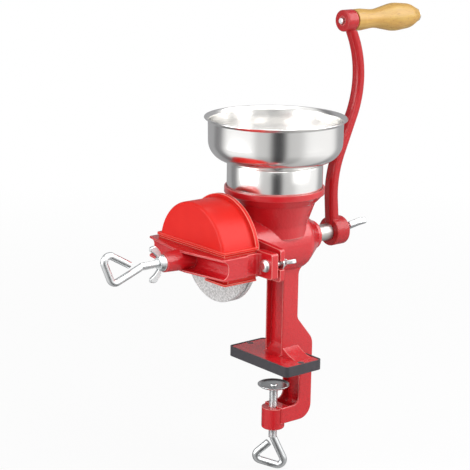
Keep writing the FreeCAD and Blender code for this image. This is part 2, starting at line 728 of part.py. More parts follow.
def add_dome(sketch, bottom, top, radius):
    """A round-topped outline: a flat foot, two short upright sides and an arc centred above the shaft."""
    low = value(bottom)
    high = value(top)
    rise = value("dome_rise")
    reach = value(radius)
    half = (reach ** 2 - (high - rise) ** 2) ** 0.5
    left, right = FreeCAD.Vector(-half, low, 0), FreeCAD.Vector(half, low, 0)
    left_top, right_top = FreeCAD.Vector(-half, high, 0), FreeCAD.Vector(half, high, 0)
    sketch.addGeometry(Part.LineSegment(left, right), False)
    sketch.addGeometry(Part.LineSegment(right, right_top), False)
    crown = Part.Arc(right_top, FreeCAD.Vector(0, rise + reach, 0), left_top)
    sketch.addGeometry(crown, False)
    sketch.addGeometry(Part.LineSegment(left_top, left), False)
    sketch.addConstraint(Sketcher.Constraint("Coincident", 0, 2, 1, 1))
    sketch.addConstraint(Sketcher.Constraint("Coincident", 1, 2, 2, 1))
    sketch.addConstraint(Sketcher.Constraint("Coincident", 2, 2, 3, 1))
    sketch.addConstraint(Sketcher.Constraint("Coincident", 3, 2, 0, 1))
    sketch.addConstraint(Sketcher.Constraint("Vertical", 1))
    sketch.addConstraint(Sketcher.Constraint("Vertical", 3))
    sketch.addConstraint(Sketcher.Constraint("Horizontal", 0))
    sketch.addConstraint(Sketcher.Constraint("PointOnObject", 2, 3, -2))
    constrain(sketch, "DistanceY", "dome_rise", -1, 1, 2, 3)
    constrain(sketch, "DistanceY", bottom, -1, 1, 0, 1)
    constrain(sketch, "DistanceY", top, -1, 1, 1, 2)
    constrain(sketch, "DistanceY", top, -1, 1, 3, 1)
    constrain(sketch, "Radius", radius, 2)


def cut_burr_grooves(body, start):
    """Radial feed grooves, one cut and then repeated round the shaft's axis."""
    groove = cut(body, "groove", "YZ_Plane", "groove_depth", start=start, outlines=[
        box("burr_feed_radius + 4", "burr_radius - 3", "2", "2 + groove_width")])
    pattern = body.newObject("PartDesign::PolarPattern", "grooves")
    pattern.Originals = [groove]
    origin = [f for f in body.Origin.OriginFeatures if f.Role == "X_Axis"][0]
    pattern.Axis = (origin, [""])
    pattern.Angle = 360
    pattern.setExpression("Occurrences", bound("groove_count"))
    body.Tip = pattern
    doc.recompute()


def make_fixed_burr():
    body = on_shaft("fixed_burr")
    turn(body, "disc", [
        ("fixed_burr_front", "burr_feed_radius"),
        ("fixed_burr_front", "burr_radius", "0.6"),
        ("seat_front", "burr_radius", "1"),
        ("seat_front", "burr_feed_radius"),
    ])
    cut_burr_grooves(body, "fixed_burr_front")
    cut(body, "screw_holes", "YZ_Plane", "seat_front - fixed_burr_front + 1", start="fixed_burr_front - 0.5",
        circles=[("0", "burr_screw_circle", "small_head_radius + 0.2"),
                 ("0", "-burr_screw_circle", "small_head_radius + 0.2")])
    return body


def make_moving_burr():
    body = on_shaft("moving_burr")
    back = "fixed_burr_front - burr_gap"
    turn(body, "disc", [
        ("moving_burr_front", "burr_hub_radius"),
        ("moving_burr_front", "burr_radius", "1"),
        (back, "burr_radius", "0.6"),
        (back, "burr_hub_radius"),
    ])
    cut_burr_grooves(body, back + " - groove_depth")
    cut(body, "screw_holes", "YZ_Plane", "7", start="moving_burr_front - 0.5", circles=[
        ("0", "carrier_screw_circle", "small_screw_radius"),
        ("0", "-carrier_screw_circle", "small_screw_radius"),
    ])
    cut(body, "screw_sinks", "YZ_Plane", "3.4", start=back + " - 3.2", circles=[
        ("0", "carrier_screw_circle", "small_head_radius + 0.2"),
        ("0", "-carrier_screw_circle", "small_head_radius + 0.2"),
    ])
    return body


def make_burr_carrier():
    """The cast carrier that turns the front burr. It is pinned to the shaft."""
    body = on_shaft("burr_carrier")
    turn(body, "casting", [
        ("carrier_hub_front", "shaft_nose_radius"),
        ("carrier_hub_front", "carrier_hub_radius", "1.2"),
        ("carrier_front", "carrier_hub_radius", "2"),
        ("carrier_front", "carrier_radius", "1.5"),
        ("moving_burr_front", "carrier_radius"),
        ("moving_burr_front", "burr_hub_radius"),
        ("moving_burr_front + 3", "burr_hub_radius"),
        ("moving_burr_front + 3", "shaft_nose_radius"),
    ])
    cut(body, "pin_hole", "XY_Plane", "4 * carrier_hub_radius", symmetric=True,
        circles=[("pin_place", "0", "pin_radius")])
    cut(body, "screw_holes", "YZ_Plane", "8", start="carrier_front - 1", circles=[
        ("0", "carrier_screw_circle", "small_screw_radius"),
        ("0", "-carrier_screw_circle", "small_screw_radius"),
    ])
    return body


def make_flat_screws(label, head_face, shank_end, circle, slot_depth="1"):
    """Two flat-head screws on one circle, with their heads towards the burr gap."""
    body = on_shaft(label)
    side = 1 if value(shank_end) > value(head_face) else -1
    for number, sign in enumerate(("", "-")):
        place = sign + circle
        if side > 0:
            pad(body, "head%d" % number, "YZ_Plane", "2.6", start=head_face,
                circles=[("0", place, "small_head_radius")])
            pad(body, "shank%d" % number, "YZ_Plane", "%s - (%s)" % (shank_end, head_face),
                start=head_face, circles=[("0", place, "small_screw_radius")])
        else:
            pad(body, "head%d" % number, "YZ_Plane", "2.6", start=head_face + " - 2.6",
                circles=[("0", place, "small_head_radius")])
            pad(body, "shank%d" % number, "YZ_Plane", "%s - (%s)" % (head_face, shank_end),
                start=shank_end, circles=[("0", place, "small_screw_radius")])
    return body


def make_auger_shaft():
    """The driven shaft with its feed screw. A ball runs in its nose and the crank fits its flat tail."""
    body = on_shaft("auger_shaft")
    turn(body, "shaft", [
        ("shaft_front", "0"),
        ("shaft_front", "shaft_nose_radius", "0.8"),
        ("auger_start - 4", "shaft_nose_radius"),
        ("auger_start - 4", "shaft_radius"),
        ("shaft_shoulder", "shaft_radius", "0.5"),
        ("shaft_shoulder", "shaft_tail_radius"),
        ("shaft_end", "shaft_tail_radius", "0.5"),
        ("shaft_end", "0"),
    ])
    blade = new_sketch(body, "blade_sketch", "XZ_Plane", outlines=[
        box("auger_start", "auger_start + auger_blade", "shaft_radius - 1", "auger_radius")])
    feature(body, "PartDesign::AdditiveHelix", "blade", blade, Mode="pitch-height-angle",
            ReferenceAxis=(blade, ["H_Axis"]), Pitch="auger_pitch", Height="auger_length")
    seat_point = "ball_place + 1.42 * (ball_radius + running_gap)"
    bore(body, "ball_seat", [
        ("shaft_front - 1", "0"),
        ("shaft_front - 1", "%s - shaft_front + 1" % seat_point),
        (seat_point, "0"),
    ])
    cut(body, "pin_hole", "XY_Plane", "4 * carrier_hub_radius", symmetric=True,
        circles=[("pin_place", "0", "pin_radius")])
    cut(body, "tail_flat", "XY_Plane", "4", start="shaft_tail_flat", outlines=[
        box("shaft_shoulder", "shaft_end + 1", "-shaft_radius", "shaft_radius")])
    bore(body, "tail_thread", [
        ("shaft_end - crank_screw_length", "0"),
        ("shaft_end - crank_screw_length", "crank_screw_radius + running_gap"),
        ("shaft_end + 1", "crank_screw_radius + running_gap"),
        ("shaft_end + 1", "0"),
    ])
    return body


def make_carrier_pin():
    body = on_shaft("carrier_pin")
    pad(body, "pin", "XY_Plane", "pin_length", symmetric=True, circles=[("pin_place", "0", "pin_radius")])
    return body


def make_thrust_ball():
    """The hardened ball between the adjusting screw and the shaft's nose."""
    ball = doc.addObject("Part::Sphere", "thrust_ball")
    ball.Label = "thrust_ball"
    ball.setExpression("Radius", bound("ball_radius"))
    ball.setExpression("Placement.Base.x", bound("ball_place"))
    ball.setExpression("Placement.Base.z", bound("shaft_height"))
    SUBPARTS.append(ball)
    return ball


def sweep_wire(body, name, path, section_plane, section_start, radius):
    """A round wire along straight runs joined by tangent arcs in the XZ plane."""
    spine = body.newObject("Sketcher::SketchObject", name + "_path")
    origin = [f for f in body.Origin.OriginFeatures if f.Role == "XZ_Plane"][0]
    spine.AttachmentSupport = [(origin, "")]
    spine.MapMode = "FlatFace"
    add_outline(spine, path, closed=False)
    section = new_sketch(body, name + "_section", section_plane, start=section_start,
                         circles=[("0", "0", radius)])
    return feature(body, "PartDesign::AdditivePipe", name, section, Spine=(spine, []))


def make_adjusting_screw():
    """The burr screw: a threaded rod whose outer end is bent into a three-sided loop."""
    body = on_shaft("adjusting_screw")
    start = "adjust_loop_start"
    sweep_wire(body, "loop", [
        (start + " + 4", "0"),
        (start, "0", "12"),
        (start + " - 35.2", "-13.3", "7"),
        (start + " - 51", "25", "6"),
        (start + " - 14.8", "4.2"),
    ], "YZ_Plane", start + " + 4", "adjust_wire")
    turn(body, "rod", [
        (start + " + 4", "0"),
        (start + " + 4", "adjust_radius", "0.4"),
        ("yoke_web_back", "adjust_radius", "0.5"),
        ("yoke_web_back + 0.5", "adjust_radius - 0.8"),
        ("adjust_tip", "adjust_radius - 0.8", "0.5"),
        ("adjust_tip", "0"),
    ])
    return body


def make_clamp_screw():
    """The table screw: a threaded rod with a loop below and a riveted nose above."""
    turned = FreeCAD.Rotation(UP, -39)
    body = new_body("clamp_screw", across="clamp_axis", turned=turned)
    start = "clamp_loop_start"
    sweep_wire(body, "loop", [
        ("0", start + " + 4"),
        ("0", start, "12"),
        ("17.5", start + " - 37.6", "6.2"),
        ("-23.6", start + " - 25.1", "6"),
        ("-4.2", start + " - 7.6"),
    ], "XY_Plane", start + " + 4", "clamp_wire")
    disc_bottom = "disc_top - disc_depth"
    turn(body, "rod", [
        ("0", start + " + 4"),
        ("clamp_radius", start + " + 4", "0.4"),
        ("clamp_radius", disc_bottom + " - running_gap", "0.5"),
        ("rivet_radius", disc_bottom + " - running_gap"),
        ("rivet_radius", disc_bottom + " + disc_sheet + running_gap"),
        ("rivet_head", disc_bottom + " + disc_sheet + running_gap"),
        ("rivet_head - 0.6", disc_bottom + " + disc_sheet + 1.6", "0.8"),
        ("0", disc_bottom + " + disc_sheet + 1.6"),
    ], axis="V_Axis")
    return body


def make_clamp_disc():
    """The pressed cup that bears on the underside of the table. It swivels on the screw's rivet."""
    body = new_body("clamp_disc", across="clamp_axis")
    bottom = "disc_top - disc_depth"
    turn(body, "cup", [
        ("rivet_radius + running_gap", bottom),
        ("disc_radius - 3", bottom, "1.6"),
        ("disc_radius - 0.5", "disc_top - 0.8", "0.5"),
        ("disc_radius - 0.4", "disc_top", "0.4"),
        ("disc_radius - 1.4", "disc_top", "0.3"),
        ("disc_radius - 3.6", bottom + " + disc_sheet", "1"),
        ("rivet_radius + running_gap", bottom + " + disc_sheet"),
    ], axis="V_Axis")
    return body


def make_washer(label, hole, outer, across="0", along="0", up="0"):
    """A flat washer whose own frame is on its seat, facing along X."""
    body = new_body(label, across=across, along=along, up=up)
    pad(body, "ring", "YZ_Plane", "washer_thickness", circles=[("0", "0", outer), ("0", "0", hole)])
    round_edges(body, "ring_edges", "0.25", lambda p, e: abs(p.y ** 2 + p.z ** 2 - value(outer) ** 2) < 0.5)
    return body


def wing_outline(hub, height, span, rise):
    """Both ears of a wing nut, seen from the side. The nut's own axis is Z and its seat is at zero."""
    right = [
        (hub + " - 3", "0.8"),
        ("0.62 * (%s)" % span, "1.8", "3"),
        (span, "0.55 * (%s)" % rise, "5"),
        ("%s - 1.5" % span, rise, "0.14 * (%s) - 0.75" % span),
        ("0.72 * (%s)" % span, rise, "0.14 * (%s) - 0.75" % span),
        ("0.56 * (%s)" % span, "0.66 * (%s)" % rise, "4"),
        (hub + " - 3", height + " - 0.6"),
    ]
    left = [("-(%s)" % c[0],) + tuple(c[1:]) for c in right]
    return right + left[::-1]


def make_wings(label, kind, turned, across, along="0"):
    """The hub and the two ears that wing nuts and the wing screw share. The kind picks the dimensions."""
    hub, height, span, rise, wing = [kind + "_" + word for word in ("hub", "height", "span", "rise", "wing")]
    body = new_body(label, across=across, along=along, up="shaft_height", turned=turned)
    pad(body, "wings", "XZ_Plane", wing, symmetric=True, outlines=[
        wing_outline(hub, height, span, rise)])
    round_edges(body, "wing_edges", kind + "_rounding",
                lambda p, e: abs(abs(p.y) - value(wing) / 2) < 0.01)
    turn(body, "hub", [
        ("0", "0"),
        (hub, "0", "0.4"),
        (hub + " - 1.4", height, "1"),
        ("0", height),
    ], axis="V_Axis")
    return body


def make_wing_nut(label, kind, hole, turned, across, along="0"):
    body = make_wings(label, kind, turned, across, along)
    cut(body, "thread", "XY_Plane", kind + "_height + 2", start="-1",
        circles=[("0", "0", hole + " + running_gap")])
    return body


def facing(direction, spin):
    """Turns a nut's own Z axis to face along +X or -X, then spins it about that axis."""
    tilt = FreeCAD.Rotation(FreeCAD.Vector(0, 1, 0), 90 * direction)
    return FreeCAD.Rotation(FreeCAD.Vector(1, 0, 0), spin).multiply(tilt)


def make_yoke_bolts():
    """Two domed carriage bolts through the yoke's ears and the casting's slotted lugs."""
    body = on_shaft("yoke_bolts")
    for number, place in enumerate(("bolt_place", "-bolt_place")):
        pad(body, "shank%d" % number, "YZ_Plane", "bolt_end - ear_front", start="ear_front",
            circles=[(place, "0", "bolt_radius")])
        pad(body, "head%d" % number, "YZ_Plane", "bolt_head_height", start="ear_front - bolt_head_height",
            circles=[(place, "0", "bolt_head_radius")])
    front = value("ear_front - bolt_head_height")
    round_edges(body, "domes", "3.8", lambda p, e: abs(p.x - front) < 0.01)
    end = value("bolt_end")
    round_edges(body, "ends", "0.6", lambda p, e: abs(p.x - end) < 0.01)
    return body


def make_crank_arm():
    """The cast crank: a hub, an arm that bows round the hopper and an eye for the handle bolt."""
    body = on_shaft("crank_arm")
    pad(body, "eye", "YZ_Plane", "crank_eye_back - crank_eye_front", start="crank_eye_front",
        circles=[("0", "crank_radius", "crank_eye_radius")])
    round_edges(body, "eye_edges", "1.6", lambda p, e: near(p.x, "crank_eye_front") or near(p.x, "crank_eye_back"))
    spine = body.newObject("Sketcher::SketchObject", "arm_path")
    origin = [f for f in body.Origin.OriginFeatures if f.Role == "XZ_Plane"][0]
    spine.AttachmentSupport = [(origin, "")]
    spine.MapMode = "FlatFace"
    add_outline(spine, [
        ("arm_root", "6"),
        ("arm_foot", "arm_foot_height", "arm_foot_bend"),
        ("arm_bow", "arm_bow_height", "arm_bow_bend"),
        ("arm_top_place", "crank_radius"),
    ], closed=False)
    root = new_sketch(body, "arm_root_section", "XY_Plane", start="6", outlines=[
        arm_section("arm_root", "arm_half_thickness", "arm_half_width")])
    tip = new_sketch(body, "arm_tip_section", "XY_Plane", start="crank_radius", outlines=[
        arm_section("arm_top_place", "arm_tip_half_thickness", "arm_tip_half_width")])
    feature(body, "PartDesign::AdditivePipe", "arm", root, Spine=(spine, []), Transformation="Multisection",
            Sections=[(tip, "")])
    turn(body, "hub", [
        ("crank_hub_front", "0"),
        ("crank_hub_front", "crank_hub_radius", "1.4"),
        ("crank_hub_back", "crank_hub_radius", "2"),
        ("crank_hub_back", "0"),
    ])
    cut(body, "shoulder_face", "YZ_Plane", "5", start="crank_hub_front - 5",
        circles=[("0", "0", "shaft_radius + running_gap")])
    cut(body, "tail_hole", "YZ_Plane", "30", start="crank_hub_front - 5",
        circles=[("0", "0", "shaft_tail_radius + running_gap")])
    pad(body, "tail_key", "YZ_Plane", "crank_hub_back - crank_hub_front", start="crank_hub_front", outlines=[
        box("-shaft_tail_radius", "shaft_tail_radius", "shaft_tail_flat + running_gap", "shaft_tail_radius + 2")])
    cut(body, "grip_face", "YZ_Plane", "30", start="crank_eye_back",
        circles=[("0", "crank_radius", "grip_collar + 1")])
    cut(body, "bolt_hole", "YZ_Plane", "30", start="crank_eye_front - 5",
        circles=[("0", "crank_radius", "handle_bolt_radius + running_gap")])
    cut(body, "bolt_sink", "YZ_Plane", "2.2", start="crank_eye_front - 1",
        circles=[("0", "crank_radius", "handle_bolt_radius + 1.3")])
    return body


def arm_section(middle, half_thickness, half_width):
    """The arm's rounded cross-section, cut level."""
    return [
        ("%s - %s" % (middle, half_thickness), "-" + half_width, "4.4"),
        ("%s + %s" % (middle, half_thickness), "-" + half_width, "4.4"),
        ("%s + %s" % (middle, half_thickness), half_width, "4.4"),
        ("%s - %s" % (middle, half_thickness), half_width, "4.4"),
    ]


def make_crank_screw():
    """The wing screw that draws the crank on to the shaft's tail."""
    body = make_wings("crank_screw", "thumb", facing(1, -125), "crank_hub_back + washer_thickness")
    pad(body, "shank", "XY_Plane", "crank_screw_length - 2", start="-crank_screw_length + 2",
        circles=[("0", "0", "crank_screw_radius")])
    return body


def make_handle_bolt():
    """The long bolt that the wooden grip turns on. Its thread ends in the crank's eye."""
    body = new_body("handle_bolt", up="shaft_height + crank_radius")
    turn(body, "bolt", [
        ("crank_eye_front - 2.8", "0"),
        ("crank_eye_front - 2.8", "handle_bolt_radius", "0.8"),
        ("grip_end + washer_thickness", "handle_bolt_radius"),
        ("grip_end + washer_thickness", "handle_bolt_head - 1.2", "0.8"),
        ("grip_end + washer_thickness + 1.8", "handle_bolt_head - 2.6", "0.8"),
        ("grip_end + washer_thickness + 1.8", "0"),
    ])
    return body


def make_handle_grip():
    """The turned wooden grip: a collar, a waist, a full belly and a narrow tip."""
    body = new_body("handle_grip", up="shaft_height + crank_radius")
    turn(body, "wood", [
        ("grip_start", "grip_bore"),
        ("grip_start", "grip_collar", "0.8"),
        ("grip_start + 9", "grip_collar + 0.3", "14"),
        ("grip_start + 29", "grip_waist", "40"),
        ("grip_start + 58", "grip_belly", "45"),
        ("grip_end - 13", "grip_belly - 2.2", "24"),
        ("grip_end", "grip_tip", "0.8"),
        ("grip_end", "grip_bore"),
    ])
    return body


def make_every_part():
    make_body_casting()
    make_base_pad()
    make_hopper()
    make_fixed_burr()
    make_flat_screws("fixed_burr_screws", "fixed_burr_front + 2.2", "seat_front + 7", "burr_screw_circle")
    make_moving_burr()
    make_burr_carrier()
    make_flat_screws("carrier_screws", "fixed_burr_front - burr_gap - 0.4", "carrier_front + 0.5",
                     "carrier_screw_circle")
    make_auger_shaft()
    make_carrier_pin()
    make_thrust_ball()
    make_adjusting_screw()
    make_yoke()
    make_yoke_bolts()
    make_burr_cover()
    nut_seat = "lug_back + washer_thickness"
    for label, place, spin in (("near", "-bolt_place", 76), ("far", "bolt_place", 75)):
        make_washer(label + "_washer", "bolt_radius + 0.3", "7.6", across="lug_back", along=place,
                    up="shaft_height")
        make_wing_nut(label + "_wing_nut", "nut", "bolt_radius", facing(1, spin), nut_seat, place)
    make_washer("lock_washer", "adjust_radius + 0.3", "8.6", across="yoke_boss_front - washer_thickness",
                up="shaft_height")
    make_wing_nut("lock_wing_nut", "lock", "adjust_radius", facing(-1, 0),
                  "yoke_boss_front - washer_thickness")
    make_crank_arm()
    make_washer("crank_washer", "crank_screw_radius + 0.3", "10", across="crank_hub_back", up="shaft_height")
    make_crank_screw()
    make_handle_bolt()
    make_handle_grip()
    make_washer("handle_end_washer", "handle_bolt_radius", "grip_tip - 0.2", across="grip_end",
                up="shaft_height + crank_radius")
    make_clamp_screw()
    make_clamp_disc()


def export_parts():
    """Tests every object and every sub-part's shape, then writes one file for each sub-part."""
    doc.recompute()
    for item in doc.Objects:
        if "Invalid" in item.State or "Error" in item.State:
            raise RuntimeError("%s did not compute: %s" % (item.Label, item.State))
    for part in SUBPARTS:
        if part.Shape.isNull() or not part.Shape.isValid():
            raise RuntimeError("%s has no valid shape" % part.Label)
    for part in SUBPARTS:
        part.Shape.exportStep("parts/%s.step" % part.Label)
        print("%-20s solids %d  volume %9.1f mm3" % (part.Label, len(part.Shape.Solids), part.Shape.Volume))


make_every_part()
export_parts()
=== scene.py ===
# %% [markdown]
# # Dressing a hand grain mill
# A grain mill of this kind is a small, heavy machine. A glossy red casting clamps to a table, a steel
# hopper sits on top, two iron burrs turn behind a red cover, and a long crank ends in a wooden grip.
# The solid parts come from a CAD model, in metres and already in place, so nothing here moves them.
# What is left is what the eye judges: threads, spun sheet, paint, zinc, wood, light and camera.

# %% Load the solid parts
import json
import math

import bmesh
import bpy
from mathutils import Matrix, Vector


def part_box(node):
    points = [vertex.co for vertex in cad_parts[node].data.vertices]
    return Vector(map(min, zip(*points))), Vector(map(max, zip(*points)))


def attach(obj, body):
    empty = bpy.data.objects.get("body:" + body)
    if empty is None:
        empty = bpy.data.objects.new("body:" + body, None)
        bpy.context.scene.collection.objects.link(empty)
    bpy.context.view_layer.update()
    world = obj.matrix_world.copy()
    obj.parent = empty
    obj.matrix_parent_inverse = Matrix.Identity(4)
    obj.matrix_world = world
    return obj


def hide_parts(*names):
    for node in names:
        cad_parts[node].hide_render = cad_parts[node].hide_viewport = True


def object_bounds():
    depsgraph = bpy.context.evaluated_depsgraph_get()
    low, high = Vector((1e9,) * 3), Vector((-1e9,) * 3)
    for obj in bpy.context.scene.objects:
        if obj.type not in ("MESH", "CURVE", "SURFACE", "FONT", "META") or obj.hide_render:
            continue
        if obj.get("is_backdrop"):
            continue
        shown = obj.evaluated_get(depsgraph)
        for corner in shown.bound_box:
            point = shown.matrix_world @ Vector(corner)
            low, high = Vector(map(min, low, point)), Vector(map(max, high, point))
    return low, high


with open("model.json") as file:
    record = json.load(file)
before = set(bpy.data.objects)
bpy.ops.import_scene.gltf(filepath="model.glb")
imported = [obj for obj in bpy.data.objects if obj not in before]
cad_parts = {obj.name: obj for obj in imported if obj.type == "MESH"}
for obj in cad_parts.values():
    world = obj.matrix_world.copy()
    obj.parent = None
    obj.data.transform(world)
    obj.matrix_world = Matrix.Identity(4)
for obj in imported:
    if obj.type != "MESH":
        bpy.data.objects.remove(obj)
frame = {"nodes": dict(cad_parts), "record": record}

MM = 0.001
scene = bpy.context.scene
nodes = frame["nodes"]
cad_low, cad_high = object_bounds()
print(len(nodes), "solid parts in a box of", [round(v / MM) for v in cad_high - cad_low], "mm")

# %% [markdown]
# ## Colours and nodes
# Paint makers and photographs give colours as sRGB codes, but a shader adds up light, which is linear.
# One function turns a code into linear numbers, so that the codes in this lesson can be compared with
# a colour picker. A second function adds a node with its settings and its links in one line, which
# keeps each material short enough to read as a recipe. A Mix node has sockets for numbers, vectors and
# colours, some with the same name, so its colour sockets are picked by number. The last helper is the
# mask for outer edges, where the paint and the plastic get a pale, painted highlight in their colour.

# %% Helpers for materials
def srgb(code):
    """Linear red, green, blue and alpha of a code such as #C8102E."""
    channels = [int(code[i:i + 2], 16) / 255 for i in (1, 3, 5)]
    return [c / 12.92 if c <= 0.04045 else ((c + 0.055) / 1.055) ** 2.4 for c in channels] + [1.0]


def add(tree, kind, inputs=None, **settings):
    """Adds a node. Each input is a number, a colour or another node's output."""
    node = tree.nodes.new("ShaderNode" + kind)
    for name, setting in settings.items():
        setattr(node, name, setting)
    for socket, given in (inputs or {}).items():
        if isinstance(given, bpy.types.NodeSocket):
            tree.links.new(given, node.inputs[socket])
        else:
            node.inputs[socket].default_value = given
    return node


def empty_material(name):
    material = bpy.data.materials.new(name)
    material.use_nodes = True
    material.node_tree.nodes.clear()
    return material, material.node_tree


# Sockets of a Mix node for colours: the share of the second one, both colours, and the result.
FACTOR, FIRST, SECOND, BLEND = 0, 6, 7, 2


def edge_highlight_mask(tree, reach):
    """1 on outer edges, where a pale painted highlight goes, and 0 elsewhere. It looks for another face
    within reach, through the solid.
    """
    inward = add(tree, "AmbientOcclusion", {"Distance": reach}, inside=True, only_local=True, samples=8)
    mask = add(tree, "MapRange", {"Value": inward.outputs["AO"], "From Min": 0.92, "From Max": 0.5})
    return mask.outputs[0]


print("sRGB #B8121A is", [round(c, 3) for c in srgb("#B8121A")[:3]], "in linear light")

# %% [markdown]
# ## Gloss red enamel on sand-cast iron
# The casting is poured in sand, so its skin has shallow lumps one to three millimetres across. A thick
# gloss enamel then floods the smallest pits and draws back a little from the corners. The eye reads
# this as broken, wobbling highlights, and as edges that catch light. Two noises in the bump give the
# lumps and the finer peel of the enamel. The Bevel node softens every edge that the CAD left crisp,
# without a single new face. A slow noise moves the colour a little, as paint thickness does.
#
# Where enamel draws back from an outer edge it is thin and worn, and a rounded edge catches the lamps.
# The pale line this makes is painted into the colour: partly worn enamel, partly a painted highlight.
# Ambient Occlusion turned inside out finds these edges: near a corner, rays sent into the solid soon
# meet another face. The crank gets the same enamel, less glossy and in a deeper red. The deeper red is
# painted shade, for the weaker light that falls on the crank.

# %% Red enamel
def red_enamel(name, thin, thick, gloss_level):
    material, tree = empty_material(name)
    place = add(tree, "TexCoord").outputs["Object"]
    lumps = add(tree, "TexNoise", {"Vector": place, "Scale": 1 / (2.6 * MM), "Detail": 3.0,
                                   "Roughness": 0.6})
    peel = add(tree, "TexNoise", {"Vector": place, "Scale": 1 / (0.9 * MM), "Detail": 1.0})
    drift = add(tree, "TexNoise", {"Vector": place, "Scale": 1 / (38 * MM), "Detail": 2.0})
    drifting = add(tree, "Mix", {FACTOR: drift.outputs["Fac"], FIRST: srgb(thin),
                                 SECOND: srgb(thick)}, data_type="RGBA")
    # Pale outer edges, painted into the colour: partly thin, worn enamel, partly a painted highlight.
    colour = add(tree, "Mix", {FACTOR: edge_highlight_mask(tree, 1.2 * MM), FIRST: drifting.outputs[BLEND],
                               SECOND: srgb("#E88680")}, data_type="RGBA")
    gloss = add(tree, "MapRange", {"Value": peel.outputs["Fac"], "To Min": 0.18, "To Max": 0.28})
    edges = add(tree, "Bevel", {"Radius": 1.3 * MM}, samples=8)
    cast = add(tree, "Bump", {"Height": lumps.outputs["Fac"], "Distance": 0.5 * MM, "Strength": 0.9,
                              "Normal": edges.outputs[0]})
    skin = add(tree, "Bump", {"Height": peel.outputs["Fac"], "Distance": 0.06 * MM, "Strength": 0.5,
                              "Normal": cast.outputs[0]})
    shader = add(tree, "BsdfPrincipled", {"Base Color": colour.outputs[BLEND],
                                          "Roughness": gloss.outputs[0],
                                          "IOR": 1.5, "Specular IOR Level": gloss_level,
                                          "Coat Weight": gloss_level, "Coat Roughness": 0.1,
                                          "Normal": skin.outputs[0]})
    add(tree, "OutputMaterial", {"Surface": shader.outputs[0]})
    return material


enamel = red_enamel("gloss red enamel on sand-cast iron", "#B8121A", "#C81B23", 0.45)
# The crank's deeper red is painted shade, for the weaker light that falls on it.
shaded_crank_enamel = red_enamel("enamel darkened for painted shade on the crank", "#A41017", "#B4171D", 0.28)
print("made", enamel.name, "and", shaded_crank_enamel.name)

# %% [markdown]
# ## Moulded red ABS
# The burr cover is injection-moulded in a brighter, warmer red than the paint. Moulded ABS has an even
# satin gloss from its polished tool, slow sink marks, and a little light inside it, which keeps its
# shadows warm. Subsurface weight gives that light, and one broad noise gives the sinks.

# %% Moulded cover plastic
def moulded_plastic():
    material, tree = empty_material("injection-moulded red ABS")
    place = add(tree, "TexCoord").outputs["Object"]
    sinks = add(tree, "TexNoise", {"Vector": place, "Scale": 1 / (22 * MM), "Detail": 1.0})
    tool = add(tree, "TexNoise", {"Vector": place, "Scale": 1 / (0.7 * MM), "Detail": 1.0})
    even = add(tree, "Mix", {FACTOR: sinks.outputs["Fac"], FIRST: srgb("#D21A14"),
                             SECOND: srgb("#DC241B")}, data_type="RGBA")
    # Pale outer edges, painted into the colour: a painted highlight.
    colour = add(tree, "Mix", {FACTOR: edge_highlight_mask(tree, 0.9 * MM), FIRST: even.outputs[BLEND],
                               SECOND: srgb("#FFB4A2")}, data_type="RGBA")
    edges = add(tree, "Bevel", {"Radius": 1.6 * MM}, samples=8)
    slow = add(tree, "Bump", {"Height": sinks.outputs["Fac"], "Distance": 0.5 * MM, "Strength": 0.25,
                              "Normal": edges.outputs[0]})
    fine = add(tree, "Bump", {"Height": tool.outputs["Fac"], "Distance": 0.02 * MM, "Strength": 0.4,
                              "Normal": slow.outputs[0]})
    gloss = add(tree, "MapRange", {"Value": tool.outputs["Fac"], "To Min": 0.3, "To Max": 0.4})
    shader = add(tree, "BsdfPrincipled", {"Base Color": colour.outputs[BLEND],
                                          "Roughness": gloss.outputs[0],
                                          "IOR": 1.46, "Specular IOR Level": 0.25,
                                          "Subsurface Weight": 0.12, "Subsurface Scale": 2 * MM,
                                          "Normal": fine.outputs[0]})
    add(tree, "OutputMaterial", {"Surface": shader.outputs[0]})
    return material


cover_plastic = moulded_plastic()
print("made", cover_plastic.name)

# %% [markdown]
# ## Spun and polished stainless steel
# The hopper is spun from sheet and polished on the lathe, which leaves fine rings round it. Reflections
# smear across those rings, so a lamp becomes a tall soft band. The anisotropic shader with a tangent
# that runs round the Z axis gives the smear, and a noise squeezed along Z draws the rings. Real rings
# are a few hundredths of a millimetre wide. They are drawn near 0.3 mm so that they show at all.

# %% Spun steel
def spun_steel():
    material, tree = empty_material("spun and polished stainless steel")
    place = add(tree, "TexCoord").outputs["Object"]
    squeezed = add(tree, "Mapping", {"Vector": place, "Scale": (12, 12, 1 / (0.3 * MM))})
    rings = add(tree, "TexNoise", {"Vector": squeezed.outputs[0], "Scale": 1.0, "Detail": 3.0})
    smears = add(tree, "TexNoise", {"Vector": place, "Scale": 1 / (26 * MM), "Detail": 3.0})
    both = add(tree, "Math", {0: rings.outputs["Fac"], 1: smears.outputs["Fac"]}, operation="MULTIPLY")
    gloss = add(tree, "MapRange", {"Value": both.outputs[0], "From Max": 0.5,
                                   "To Min": 0.18, "To Max": 0.2})
    grooves = add(tree, "Bump", {"Height": rings.outputs["Fac"], "Distance": 0.01 * MM, "Strength": 0.5})
    round_z = add(tree, "Tangent", direction_type="RADIAL", axis="Z")
    shader = add(tree, "BsdfPrincipled", {"Base Color": srgb("#F3F2F0"), "Metallic": 1.0,
                                          "Roughness": gloss.outputs[0], "Anisotropic": 0.4,
                                          "Tangent": round_z.outputs[0], "Normal": grooves.outputs[0]})
    add(tree, "OutputMaterial", {"Surface": shader.outputs[0]})
    return material


hopper_steel = spun_steel()
print("made", hopper_steel.name)

# %% [markdown]
# ## Bright zinc plate and turned steel
# Screws, wing nuts and bent rod are zinc plated: a pale, slightly blue metal whose gloss changes from
# patch to patch, because the plating follows the rough rod under it. The shaft and its ball are turned
# steel, warmer and with fine tool rings round the X axis. Both are metals, so their colour is that of
# their reflections, and only the roughness and the bump tell them apart.

